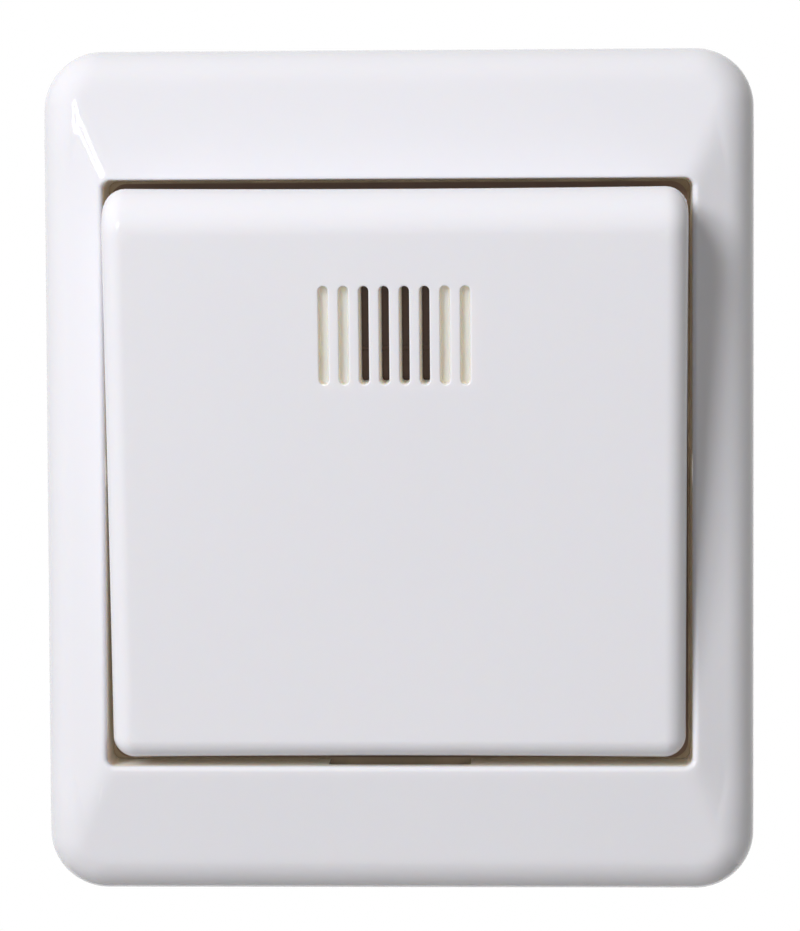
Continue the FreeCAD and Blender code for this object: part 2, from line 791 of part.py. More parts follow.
def makeMechanismBase():
    base = Piece("mechanism_base")
    half = halfBase
    outline = base.draw("face", -size.base_depth).roundedBox(-half, half, -half, half, size.base_corner)
    base.pad(outline, size.base_depth)
    neck = (halfRingOpening - size.free_gap) * 2
    base.pad(base.draw("face", -size.ring_thick).middleBox(neck, neck), size.ring_thick * 2)
    # Ramps that spread the claws, each forked round its screw
    rampStart = half - size.ramp_gap / 2
    slope = size.claw_depth + half
    for sign in (1, -1):
        place = -sign * size.claw_place_z
        end = half + size.ramp_reach
        ramp = base.draw("plan", place).outline([
            (sign * rampStart, rampStart - slope),
            (sign * end, end - slope),
            (sign * end, -size.ramp_front_depth),
            (sign * rampStart, -size.ramp_front_depth),
        ])
        base.pad(ramp, size.claw_half * 2, both=True)
        fork = base.draw("face", -size.ramp_front_depth)
        halfFork = size.claw_screw_radius + size.free_gap
        inner = sign * (clawX - halfFork)
        beyond = sign * (end + size.free_gap)
        fork.box(inner, beyond, place - halfFork, place + halfFork)
        base.cut(fork, size.base_depth)
        # Room for the nut to come forward with the claw
        nutRoom = base.draw("face", size.claw_travel + size.free_gap - size.claw_depth)
        nutHalf = size.claw_nut_half + size.free_gap
        inner = sign * (clawX - nutHalf)
        nutRoom.box(inner, beyond, place - nutHalf, place + nutHalf)
        base.cut(nutRoom, size.base_depth)
    # One chamber for the contacts and one for the lamp's resistor
    chambers = base.draw("face", ringFront)
    for sign in (1, -1):
        inner = sign * (plungerX - size.chamber_half)
        outer = sign * (plungerX + size.chamber_half)
        chambers.box(inner, outer, -size.chamber_low, size.chamber_high)
    base.cut(chambers, size.chamber_floor + ringFront)
    leadHalf = size.lead_radius + size.free_gap
    passage = base.draw("face", ringFront)
    passageStart = size.chamber_half - plungerX - size.free_gap
    passageLow, passageHigh = size.lead_drop_place - leadHalf, size.lead_drop_place + leadHalf
    passage.box(passageStart, size.electrode_place + leadHalf, passageLow, passageHigh)
    base.cut(passage, size.resistor_depth + ringFront + leadHalf)
    # Seat of the contact pin, open to the front
    seat = base.draw("face", ringFront)
    reach = size.chamber_half + size.contact_pin_radius
    pinHalf = size.contact_pin_radius + size.running_gap
    left, right = plungerX - reach, plungerX + reach
    seat.box(left, right, -size.blade_pivot_place - pinHalf, -size.blade_pivot_place + pinHalf)
    pinDepth = size.blade_top_depth + size.blade_thick / 2
    base.cut(seat, ringFront + pinDepth + size.contact_pin_radius)
    # Post under the contact spring
    post = base.draw("face", -size.chamber_floor - size.free_gap)
    post.circle(plungerX, size.contact_spring_place, size.spring_post_radius)
    base.pad(post, size.spring_post_rise + size.free_gap)
    # Channels from the chambers to the terminal rooms behind them
    channels = base.draw("face", -size.chamber_floor)
    channelHalf = size.strip_half + size.free_gap
    for sign in (1, -1):
        inner = sign * plungerX - channelHalf
        outer = sign * plungerX + channelHalf
        channels.box(inner, outer, size.fixed_strip_place - size.free_gap, size.chamber_high)
        channels.box(inner, outer, -size.chamber_low, -size.bracket_place + size.free_gap)
    base.cut(channels, size.clamp_front_depth - size.chamber_floor)
    rooms = base.draw("face", -size.base_depth)
    roomX = size.clamp_width / 2 + size.free_gap
    roomZ = size.clamp_tall / 2 + size.free_gap
    for sign in (1, -1):
        for up in (1, -1):
            x, z = sign * clampX, up * size.clamp_place_z
            rooms.box(x - roomX, x + roomX, z - roomZ, z + roomZ)
    base.cut(rooms, size.base_depth - size.clamp_front_depth, reverse=True)
    # Wire entries through the upper and lower walls
    for up in (1, -1):
        entries = base.draw("plan", up * half)
        for sign in (1, -1):
            entries.circle(sign * clampX, -size.wire_axis_depth, size.wire_entry)
        base.cut(entries, half - size.clamp_place_z, reverse=up < 0)
    screwHoles = base.draw("face", ringFront)
    for sign in (1, -1):
        for up in (1, -1):
            screwRadius = size.cover_screw_radius + size.running_gap
            screwHoles.circle(sign * coverScrewX, up * coverScrewZ, screwRadius)
    base.cut(screwHoles, ringFront + size.cover_screw_reach + size.free_gap)
    return base.body


def makeTurned(label, profile, x, z):
    # A piece turned about an axis square to the wall; its profile holds (radius, height)
    piece = Piece(label)
    piece.revolve(piece.draw("plan", z, x).outline(profile))
    return piece


def makeSlottedScrew(label, x, z, seat, way, head, headRadius, shank, reach):
    # A cheese-head screw whose head stands on the seat height and points the given way
    top = seat + way * head
    screw = makeTurned(label, [(0, top), (headRadius, top), (headRadius, seat), (shank, seat),
                               (shank, seat - way * reach), (0, seat - way * reach)], x, z)
    slot = screw.draw("face", top)
    halfSlot = size.screw_slot_width / 2
    slot.box(x - halfSlot, x + halfSlot, z - headRadius * 2, z + headRadius * 2)
    screw.cut(slot, head / 2, reverse=way < 0)
    return screw.body


def makeGroup(label, bodies):
    group = doc.addObject("Part::Compound", label)
    group.Label = label
    group.Links = bodies
    return group


def makeCoverScrews():
    screws = []
    for index, (sign, up) in enumerate(((1, 1), (1, -1), (-1, 1), (-1, -1))):
        screws.append(makeSlottedScrew(
            "cover_screw_%d" % (index + 1), sign * coverScrewX, up * coverScrewZ,
            plateFront, 1, size.cover_screw_head, size.cover_screw_head_radius,
            size.cover_screw_radius, plateFront + size.cover_screw_reach))
    return makeGroup("cover_screws", screws)


def makePlunger(label, x, profileEnd):
    stem = size.stem_radius
    head = size.head_radius
    profile = [(0, plungerTop), (head / 2, plungerTop - domeDrop / 4), (head, plungerTop - domeDrop),
               (head, plungerShoulder), (stem, plungerShoulder)] + profileEnd
    return makeTurned(label, profile, x, size.plunger_arm).body


def makePlungers():
    bladeTop = -size.blade_top_depth + size.seat_gap
    coned = [(size.stem_radius, bladeTop + size.tip_cone), (size.tip_radius, bladeTop), (0, bladeTop)]
    plainEnd = ringFront - plungerTravel
    plain = [(size.stem_radius, plainEnd), (0, plainEnd)]
    return [
        makePlunger("contact_plunger", plungerX, coned),
        makePlunger("spring_plunger", -plungerX, plain),
    ]


def biarcEdges(start, startWay, end, endWay):
    # Two arcs that leave the start and reach the end along the given unit directions
    across = end - start
    both = startWay + endWay
    square = 2 * (1 - startWay.dot(endWay))
    linear = 2 * across.dot(both)
    reach = (math.sqrt(linear * linear + 4 * square * across.dot(across)) - linear) / (2 * square)
    middle = (start + startWay * reach + end - endWay * reach) * 0.5
    edges = []
    for first, way, last in ((start, startWay, middle), (end, -endWay, middle)):
        chord = last - first
        normal = way.cross(chord).cross(way).normalize()
        radius = chord.dot(chord) / (2 * chord.dot(normal))
        center = first + normal * radius
        halfWay = ((first - center) + (last - center)).normalize()
        crown = center + halfWay * radius
        ends = (first, crown, last) if first is start else (last, crown, first)
        edges.append(Part.Arc(*ends).toShape())
    return edges


def makeCoilSpring(label, x, z, low, high, coilRadius, wireRadius, turns):
    # A compression coil standing square to the wall between two heights, with open ends
    coil, wire = float(coilRadius), float(wireRadius)
    count = int(float(turns))
    bottom = float(low + wireRadius + size.running_gap)
    top = float(high - wireRadius - size.running_gap)
    climb = (top - bottom) / count / (2 * math.pi)

    def place(angle):
        return Vector(coil * math.cos(angle), coil * math.sin(angle), bottom + climb * angle)

    def way(angle):
        return Vector(-coil * math.sin(angle), coil * math.cos(angle), climb).normalize()

    edges = []
    quarter = math.pi / 2
    for step in range(count * 4):
        begin, end = step * quarter, (step + 1) * quarter
        edges += biarcEdges(place(begin), way(begin), place(end), way(end))
    path = Part.Wire(edges)
    profile = Part.Wire([Part.Circle(place(0), way(0), wire).toShape()])
    spring = doc.addObject("Part::Feature", label)
    spring.Label = label
    spring.Shape = path.makePipeShell([profile], True, False)
    toWall = FreeCAD.Rotation(Vector(1, 0, 0), 90)
    spring.Placement = FreeCAD.Placement(Vector(float(x), 0, float(z)), toWall)
    print("%s: least gap between turns %.2f mm" % (label, climb * 2 * math.pi - 2 * wire))
    return spring


def makeSprings():
    bladeUnder = -size.blade_top_depth - size.blade_thick
    springs = []
    for label, sign in (("return_spring_right", 1), ("return_spring_left", -1)):
        springs.append(makeCoilSpring(
            label, sign * plungerX, size.plunger_arm, plateFront, plungerShoulder,
            size.spring_radius, size.spring_wire, size.spring_turns))
    springs.append(makeCoilSpring(
        "contact_spring", plungerX, size.contact_spring_place, -size.chamber_floor, bladeUnder,
        size.contact_spring_radius, size.contact_spring_wire, size.contact_spring_turns))
    return springs


def makeMovingContact():
    blade = Piece("moving_contact")
    top = -size.blade_top_depth
    under = top - size.blade_thick
    axis = top - size.blade_thick / 2
    leaf = blade.draw("side", plungerX).box(-size.blade_pivot_place, size.blade_end, under, top)
    blade.pad(leaf, size.blade_half * 2, both=True)
    hub = blade.draw("side", plungerX).circle(-size.blade_pivot_place, axis, size.blade_hub)
    blade.pad(hub, size.blade_half * 2, both=True)
    bore = blade.draw("side", plungerX)
    bore.circle(-size.blade_pivot_place, axis, size.contact_pin_radius + size.running_gap)
    blade.cut(bore, size.blade_half * 4, both=True)
    return blade.body


def makeContactButtons():
    bladeUnder = -size.blade_top_depth - size.blade_thick
    pushArm = size.plunger_arm + size.blade_pivot_place
    swing = plungerTravel * (size.contact_place + size.blade_pivot_place) / pushArm
    fixedTop = bladeUnder - size.contact_button - swing - size.seat_gap
    buttons = []
    for label, top in (("moving_contact_tip", bladeUnder), ("fixed_contact_tip", fixedTop)):
        low = top - size.contact_button
        profile = [(0, top), (size.contact_radius, top), (size.contact_radius, low), (0, low)]
        buttons.append(makeTurned(label, profile, plungerX, size.contact_place).body)
    return buttons, fixedTop - size.contact_button


def makeContactStrips(armTop):
    foot = -size.clamp_front_depth
    thick = size.strip_thick
    near = size.fixed_strip_place
    fixed = Piece("fixed_contact")
    armEnd = size.contact_place - size.contact_radius
    profile = fixed.draw("side", plungerX).outline([
        (near, foot),
        (near + thick, foot),
        (near + thick, armTop),
        (armEnd, armTop),
        (armEnd, armTop - thick),
        (near, armTop - thick),
    ])
    fixed.pad(profile, size.strip_half * 2, both=True)
    bracket = Piece("contact_bracket")
    place = -size.bracket_place
    profile = bracket.draw("side", plungerX)
    profile.box(place - thick, place, foot, -size.bracket_top_depth)
    bracket.pad(profile, size.strip_half * 2, both=True)
    return [fixed.body, bracket.body]


def makeContactPin():
    pin = Piece("contact_pin")
    axis = -size.blade_top_depth - size.blade_thick / 2
    drawing = pin.draw("side", plungerX)
    drawing.circle(-size.blade_pivot_place, axis, size.contact_pin_radius)
    halfLength = size.chamber_half + size.contact_pin_radius - size.seat_gap
    pin.pad(drawing, halfLength * 2, both=True)
    return pin.body


def makeTerminals():
    pieces = []
    screws = []
    halfWide = size.clamp_width / 2
    halfTall = size.clamp_tall / 2
    back = -size.clamp_front_depth - size.clamp_length
    places = (
        ("live_terminal", 1, -1),
        ("switched_terminal", 1, 1),
        ("lamp_terminal", -1, 1),
        ("neutral_terminal", -1, -1),
    )
    for index, (label, sign, up) in enumerate(places):
        clamp = Piece(label)
        x, z = sign * clampX, up * size.clamp_place_z
        block = clamp.draw("face", back).box(x - halfWide, x + halfWide, z - halfTall, z + halfTall)
        clamp.pad(block, size.clamp_length)
        bore = clamp.draw("plan", z + up * halfTall).circle(x, -size.wire_axis_depth, size.wire_bore)
        clamp.cut(bore, size.wire_bore_depth, reverse=up < 0)
        hole = clamp.draw("face", back).circle(x, z, size.clamp_screw_radius + size.running_gap)
        screwReach = -size.wire_axis_depth - size.wire_bore - back
        clamp.cut(hole, screwReach + size.wire_bore, reverse=True)
        pieces.append(clamp.body)
        screws.append(makeSlottedScrew(
            "terminal_screw_%d" % (index + 1), x, z, back, -1,
            size.clamp_head, size.clamp_head_radius, size.clamp_screw_radius, screwReach))
    pieces.append(makeGroup("terminal_screws", screws))
    return pieces


def makeClaws():
    pieces = []
    for word, sign in (("right", 1), ("left", -1)):
        x, z = sign * clawX, -sign * size.claw_place_z
        screw = makeSlottedScrew(
            "claw_screw_" + word, x, z, ringFront, 1, size.claw_screw_head,
            size.claw_screw_head_radius, size.claw_screw_radius,
            ringFront + size.claw_screw_end_depth)
        claw = Piece("claw_" + word)
        back = -size.claw_depth
        front = back + size.claw_thick
        tooth = back + size.claw_tooth
        profile = claw.draw("plan", z).outline([
            (sign * clawInner, back),
            (sign * clawOuter, back),
            (sign * clawOuter, tooth),
            (sign * (clawOuter - size.claw_thick), tooth - size.claw_thick),
            (sign * (clawOuter - size.claw_thick), front),
            (sign * (clawInner + size.claw_thick), front),
        ])
        claw.pad(profile, size.claw_half * 2, both=True)
        halfFork = size.claw_screw_radius + size.free_gap
        fork = claw.draw("face", front)
        forkStart = sign * (clawInner - size.free_gap)
        forkEnd = sign * (halfBase + size.claw_fork_reach)
        fork.box(forkStart, forkEnd, z - halfFork, z + halfFork)
        claw.cut(fork, size.claw_thick * 2)
        nut = Piece("claw_nut_" + word)
        nutHalf = size.claw_nut_half
        nutBack = back - size.seat_gap - size.claw_nut_thick
        block = nut.draw("face", nutBack).box(x - nutHalf, x + nutHalf, z - nutHalf, z + nutHalf)
        nut.pad(block, size.claw_nut_thick)
        bore = nut.draw("face", nutBack).circle(x, z, size.claw_screw_radius + size.running_gap)
        nut.cut(bore, size.claw_nut_thick, reverse=True)
        pieces += [claw.body, screw, nut.body]
    return pieces


def makeFrameClips():
    pieces = []
    rivets = []
    base = ringFront
    top = base + size.clip_rise
    for word, sign in (("top", 1), ("bottom", -1)):
        clip = Piece("frame_clip_" + word)
        profile = clip.draw("side").outline([
            (sign * (clipNear - size.clip_thick), base),
            (sign * clipFar, base),
            (sign * clipFar, base + size.clip_thick),
            (sign * clipNear, base + size.clip_thick),
            (sign * (clipPress + size.clip_thick), top),
            (sign * clipPress, top),
        ])
        clip.pad(profile, size.clip_half * 2, both=True)
        hole = clip.draw("face", base + size.clip_thick)
        hole.circle(0, sign * clipRivetPlace, size.clip_rivet_radius + size.running_gap)
        clip.cut(hole, size.clip_thick)
        pieces.append(clip.body)
        seat = base + size.clip_thick
        radius, headRadius = size.clip_rivet_radius, size.clip_rivet_head_radius
        profile = [(0, seat + size.clip_rivet_head), (headRadius / 2, seat + size.clip_rivet_head),
                   (headRadius, seat), (radius, seat), (radius, 0), (0, 0)]
        place = sign * clipRivetPlace
        rivets.append(makeTurned("clip_rivet_" + word, profile, asFormula(0), place).body)
    pieces.append(makeGroup("clip_rivets", rivets))
    return pieces


def makeLamp():
    # A hollow glass capsule lying along Z, with two rod electrodes inside
    height = plateFront + size.free_gap + size.lamp_radius
    low, high = size.lamp_low, size.lamp_high
    outer, inner = size.lamp_radius, size.lamp_radius - size.lamp_glass
    glass = Piece("neon_lamp_glass")
    shoulder = outer / 2
    profile = glass.draw("face", height).outline([
        (0, low), (outer, low), (outer, high - shoulder), (outer / 2, high), (0, high)])
    glass.revolve(profile)
    foot = low + size.lamp_glass * 3
    crown = high - size.lamp_glass * 2
    room = glass.draw("face", height).outline([
        (0, foot), (inner, foot), (inner, high - shoulder - size.lamp_glass), (inner / 2, crown), (0, crown)])
    groove = glass.add("Groove", room)
    groove.ReferenceAxis = (room.sketch, ["V_Axis"])
    groove.Angle = 360
    rods = []
    for index, sign in enumerate((1, -1)):
        rod = Piece("lamp_electrode_%d" % (index + 1))
        circle = rod.draw("plan", foot)
        circle.circle(sign * size.electrode_place, height, size.electrode_radius)
        rod.pad(circle, size.electrode_length)
        rods.append(rod.body)
    return [glass.body, makeGroup("lamp_electrodes", rods)], height


def makeBentWire(label, points, radius, bend):
    # A round wire of straight runs joined by tangent arcs
    places = [Vector(*[float(v) for v in point]) for point in points]
    edges = []
    last = places[0]
    for before, corner, after in zip(places, places[1:], places[2:]):
        inWay = (corner - before).normalize()
        outWay = (after - corner).normalize()
        turn = inWay.getAngle(outWay)
        trim = bend * math.tan(turn / 2)
        start, end = corner - inWay * trim, corner + outWay * trim
        toCenter = (outWay - inWay).normalize()
        center = corner + toCenter * (bend / math.cos(turn / 2))
        edges.append(Part.LineSegment(last, start).toShape())
        edges.append(Part.Arc(start, center - toCenter * bend, end).toShape())
        last = end
    edges.append(Part.LineSegment(last, places[-1]).toShape())
    path = Part.Wire(edges)
    profile = Part.Wire([Part.Circle(places[0], places[1] - places[0], radius).toShape()])
    wire = doc.addObject("Part::Feature", label)
    wire.Label = label
    wire.Shape = path.makePipeShell([profile], True, False)
    return wire


def makeLampWiring(lampHeight):
    # Both leads leave the lamp's foot and drop through the plate; one meets the resistor
    radius, bend = float(size.lead_radius), float(size.lead_bend)
    left = -plungerX
    nearLeft = left + size.lead_bend * 2
    depth = size.resistor_depth
    upperDepth = depth - size.lead_bend * 2
    lampEnd = size.lamp_low
    drop = size.lead_drop_place
    clampFront = -size.clamp_front_depth
    pole = size.electrode_place
    resistorEnd = size.resistor_length / 2
    upperStrip = size.fixed_strip_place + size.strip_thick / 2
    lowerStrip = -size.bracket_place - size.strip_thick / 2
    # Points are given as x, height and z
    routes = {
        "lamp_lead_upper": [
            (-pole, lampHeight, lampEnd),
            (-pole, lampHeight, drop),
            (-pole, -upperDepth, drop),
            (nearLeft, -upperDepth, drop),
            (nearLeft, -upperDepth, upperStrip),
            (nearLeft, clampFront, upperStrip),
        ],
        "lamp_lead_lower": [
            (pole, lampHeight, lampEnd),
            (pole, lampHeight, drop),
            (pole, -depth, drop),
            (left, -depth, drop),
            (left, -depth, resistorEnd),
        ],
        "resistor_lead": [
            (left, -depth, -resistorEnd),
            (left, -depth, lowerStrip),
            (left, clampFront, lowerStrip),
        ],
    }
    pieces = []
    for label, route in routes.items():
        points = [(x, -asFormula(height), z) for x, height, z in route]
        pieces.append(makeBentWire(label, points, radius, bend))
    resistor = Piece("series_resistor")
    half, body, waist = resistorEnd, size.resistor_radius, size.resistor_waist
    capEnd = half - size.resistor_cap
    waistEnd = capEnd - (body - waist)
    profile = resistor.draw("face", -depth, left).outline([
        (0, -half), (body, -half), (body, -capEnd), (waist, -waistEnd),
        (waist, waistEnd), (body, capEnd), (body, half), (0, half)])
    resistor.revolve(profile)
    pieces.append(resistor.body)
    return pieces


def failed(item):
    return any(word in item.State for word in ("Invalid", "Error"))


def checkModel(subParts):
    for item in doc.Objects:
        if failed(item):
            raise RuntimeError("%s did not recompute" % item.Label)
        if item.TypeId in ("PartDesign::Pocket", "PartDesign::Groove", "PartDesign::SubtractiveLoft"):
            if item.Shape.Volume > item.BaseFeature.Shape.Volume - 1e-6:
                raise RuntimeError("%s cuts nothing" % item.Label)
    for item in subParts:
        if item.Shape.isNull() or not item.Shape.isValid():
            raise RuntimeError("%s has no valid shape" % item.Label)


def main():
    subParts = [
        makeCoverFrame(),
        makeButtonRocker(),
        makeLightWindow(),
        makeRockerCarrier(),
        makePivotPin(),
        makeSupportRing(),
        makeMechanismCover(),
        makeMechanismBase(),
        makeCoverScrews(),
    ]
    subParts += makePlungers()
    subParts += makeSprings()
    subParts.append(makeMovingContact())
    buttons, armTop = makeContactButtons()
    subParts += buttons
    subParts += makeContactStrips(armTop)
    subParts.append(makeContactPin())
    subParts += makeTerminals()
    subParts += makeClaws()
    subParts += makeFrameClips()
    lampPieces, lampHeight = makeLamp()
    subParts += lampPieces
    subParts += makeLampWiring(lampHeight)
    doc.recompute()
    checkModel(subParts)
    os.makedirs("parts", exist_ok=True)
    for item in subParts:
        item.Shape.exportStep(os.path.join("parts", item.Label + ".step"))
        print("%-22s %2d solid(s) %9.1f mm3" % (item.Label, len(item.Shape.Solids), item.Shape.Volume))


main()
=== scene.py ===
import math

import bpy
from mathutils import Matrix, Vector
from mathutils.geometry import delaunay_2d_cdt


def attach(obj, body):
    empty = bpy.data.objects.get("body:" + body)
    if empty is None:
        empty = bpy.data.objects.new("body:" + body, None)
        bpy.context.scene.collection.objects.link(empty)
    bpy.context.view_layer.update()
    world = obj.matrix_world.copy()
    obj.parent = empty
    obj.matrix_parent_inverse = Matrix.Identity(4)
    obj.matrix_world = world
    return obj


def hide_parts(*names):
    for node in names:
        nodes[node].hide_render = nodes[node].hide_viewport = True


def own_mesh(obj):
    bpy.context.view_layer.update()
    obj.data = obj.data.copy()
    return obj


# Illuminated push button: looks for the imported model, in metres.
# Shapes are written in millimetres, x to the right and z up, with heights measured in front
# of the wall plane, and turned into metres when a mesh is made.

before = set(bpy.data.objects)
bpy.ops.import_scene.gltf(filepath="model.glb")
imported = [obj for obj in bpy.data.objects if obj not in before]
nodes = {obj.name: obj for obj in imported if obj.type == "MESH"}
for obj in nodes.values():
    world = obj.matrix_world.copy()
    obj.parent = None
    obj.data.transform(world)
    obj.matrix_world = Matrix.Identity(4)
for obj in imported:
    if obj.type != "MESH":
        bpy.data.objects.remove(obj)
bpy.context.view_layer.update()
millimetre = 0.001
quarterTurn = math.pi / 2


# Meshes

def newPiece(name, points, faces, body, replaced, smoothAngle=35):
    mesh = bpy.data.meshes.new(name)
    mesh.from_pydata([Vector(p) * millimetre for p in points], [], faces)
    mesh.validate()
    mesh.shade_smooth()
    mesh.set_sharp_from_angle(angle=math.radians(smoothAngle))
    piece = bpy.data.objects.new(name, mesh)
    bpy.context.scene.collection.objects.link(piece)
    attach(piece, body)
    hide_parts(*replaced)
    return piece


def giveFinishes(piece, main, second, secondFaces):
    # The whole piece in its main finish, and the numbered faces in the second one
    piece.data.materials.append(materials[main])
    piece.data.materials.append(materials[second])
    for index in secondFaces:
        piece.data.polygons[index].material_index = 1


def weightNormals(piece):
    # Flat faces keep their flat shading where they meet a rounding
    change = piece.modifiers.new("flatFaces", "WEIGHTED_NORMAL")
    change.mode = "FACE_AREA"
    change.weight = 100
    change.keep_sharp = True


class Shape:
    # Points and faces collected ring by ring
    def __init__(self):
        self.points = []
        self.faces = []

    def ring(self, points):
        start = len(self.points)
        self.points += [tuple(p) for p in points]
        return list(range(start, len(self.points)))

    def band(self, first, second):
        count = len(first)
        for i in range(count):
            j = (i + 1) % count
            self.faces.append((first[i], first[j], second[j], second[i]))

    def bar(self, rings):
        # Rings joined one to the next and closed at both ends
        for first, second in zip(rings, rings[1:]):
            self.band(first, second)
        self.faces.append(tuple(rings[0][::-1]))
        self.faces.append(tuple(rings[-1]))

    def sheet(self, loops, height, upward):
        # A flat face bounded by the first loop, with the other loops as holes
        flat = [(self.points[i][0], self.points[i][1]) for loop in loops for i in loop]
        index = [i for loop in loops for i in loop]
        edges = []
        start = 0
        for loop in loops:
            edges += [(start + k, start + (k + 1) % len(loop)) for k in range(len(loop))]
            start += len(loop)
        # Triangles cover the holes too, and points nearer than this count as one
        allTriangles, nearest = 0, 1e-7
        made = delaunay_2d_cdt([Vector(p) for p in flat], edges, [], allTriangles, nearest)
        newPoints, newFaces, origins = made[0], made[2], made[3]
        place = [index[o[0]] if o else None for o in origins]
        for k, known in enumerate(place):
            if known is None:
                place[k] = len(self.points)
                self.points.append((newPoints[k].x, newPoints[k].y, height))
        holes = [[self.points[i][:2] for i in loop] for loop in loops[1:]]
        outer = [self.points[i][:2] for i in loops[0]]
        for face in newFaces:
            middle = sum((newPoints[k] for k in face), Vector((0, 0))) / len(face)
            if inside(middle, outer) and not any(inside(middle, hole) for hole in holes):
                corners = [place[k] for k in face]
                self.faces.append(corners if upward else corners[::-1])


def inside(point, loop):
    # An odd number of sides lies to the right of a point inside
    isOdd = False
    for (x0, y0), (x1, y1) in zip(loop, loop[1:] + loop[:1]):
        if (y0 > point[1]) != (y1 > point[1]):
            if point[0] < x0 + (point[1] - y0) / (y1 - y0) * (x1 - x0):
                isOdd = not isOdd
    return isOdd


def roundedLoop(halfWide, halfTall, radius, sides, cornerSteps):
    # Stations round a rounded rectangle, right side first and anticlockwise from the front:
    # each is (x, z, outward x, outward z); sides holds the shares along each straight side
    stations = []
    for side, (sx, sz) in enumerate([(1, 1), (-1, 1), (-1, -1), (1, -1)]):
        angle = side * quarterTurn
        outX, outZ = math.cos(angle), math.sin(angle)
        reach, halfLong = (halfTall, halfWide) if side % 2 else (halfWide, halfTall)
        for share in sides[side]:
            slide = (share * 2 - 1) * (halfLong - radius)
            stations.append((outX * reach - outZ * slide, outZ * reach + outX * slide, outX, outZ))
        centerX, centerZ = sx * (halfWide - radius), sz * (halfTall - radius)
        for step in range(1, cornerSteps):
            turn = angle + step / cornerSteps * quarterTurn
            nx, nz = math.cos(turn), math.sin(turn)
            stations.append((centerX + nx * radius, centerZ + nz * radius, nx, nz))
    return stations


def sideShares(count):
    # Places along a side from 0 to 1, closer together towards both ends
    return [(1 - math.cos(math.pi * k / count)) / 2 for k in range(count + 1)]


def bowShare(share):
    # 0 at the ends of a side and 1 in its middle
    return 1 - (share * 2 - 1) ** 2


# Materials

class Graph:
    # A node tree with short calls for the nodes that the finishes use
    def __init__(self, tree):
        self.tree = tree
        self.tree.nodes.clear()

    def node(self, kind, **settings):
        made = self.tree.nodes.new(kind)
        for name, value in settings.items():
            setattr(made, name, value)
        return made

    def link(self, source, target):
        self.tree.links.new(source, target)

    def value(self, socket, given):
        if isinstance(given, bpy.types.NodeSocket):
            self.link(given, socket)
        else:
            socket.default_value = given

    def coordinates(self, squeeze=(1, 1, 1)):
        place = self.node("ShaderNodeTexCoord")
        mapping = self.node("ShaderNodeMapping")
        mapping.inputs["Scale"].default_value = squeeze
        self.link(place.outputs["Object"], mapping.inputs["Vector"])
        return mapping.outputs["Vector"]

    def noise(self, where, scale, detail, roughness=0.5):
        made = self.node("ShaderNodeTexNoise")
        self.link(where, made.inputs["Vector"])
        made.inputs["Scale"].default_value = scale
        made.inputs["Detail"].default_value = detail
        made.inputs["Roughness"].default_value = roughness
        return made.outputs["Fac"]

    def spread(self, source, low, high, fromLow=0.3, fromHigh=0.7):
        made = self.node("ShaderNodeMapRange", clamp=True)
        self.link(source, made.inputs["Value"])
        made.inputs["From Min"].default_value = fromLow
        made.inputs["From Max"].default_value = fromHigh
        made.inputs["To Min"].default_value = low
        made.inputs["To Max"].default_value = high
        return made.outputs["Result"]

    def math(self, operation, first, second):
        made = self.node("ShaderNodeMath", operation=operation)
        self.value(made.inputs[0], first)
        self.value(made.inputs[1], second)
        return made.outputs[0]

    def mix(self, share, first, second):
        # The colour sockets of this node are inputs 6 and 7 and output 2
        made = self.node("ShaderNodeMix", data_type="RGBA")
        self.value(made.inputs[0], share)
        self.value(made.inputs[6], first)
        self.value(made.inputs[7], second)
        return made.outputs[2]

    def bump(self, height, strength, distance, before=None):
        made = self.node("ShaderNodeBump")
        made.inputs["Strength"].default_value = strength
        made.inputs["Distance"].default_value = distance
        self.link(height, made.inputs["Height"])
        if before is not None:
            self.link(before, made.inputs["Normal"])
        return made.outputs["Normal"]

    def edgeTint(self, tint, look):
        # The edge colour, laid over the tint along convex edges
        made = self.node("ShaderNodeNewGeometry")
        edge = self.spread(made.outputs["Pointiness"], 0.0, 1.0, look["edgeFrom"], look["edgeTo"])
        return self.mix(self.math("MULTIPLY", edge, look["edgeLight"]), tint, look["edgeColor"])

    def finish(self, **sockets):
        shader = self.node("ShaderNodeBsdfPrincipled")
        for name, given in sockets.items():
            self.value(shader.inputs[name.replace("_", " ")], given)
        output = self.node("ShaderNodeOutputMaterial")
        self.link(shader.outputs["BSDF"], output.inputs["Surface"])


def newMaterial(name):
    material = bpy.data.materials.new(name)
    material.use_nodes = True
    return material, Graph(material.node_tree)


def color(r, g, b):
    return (r, g, b, 1.0)


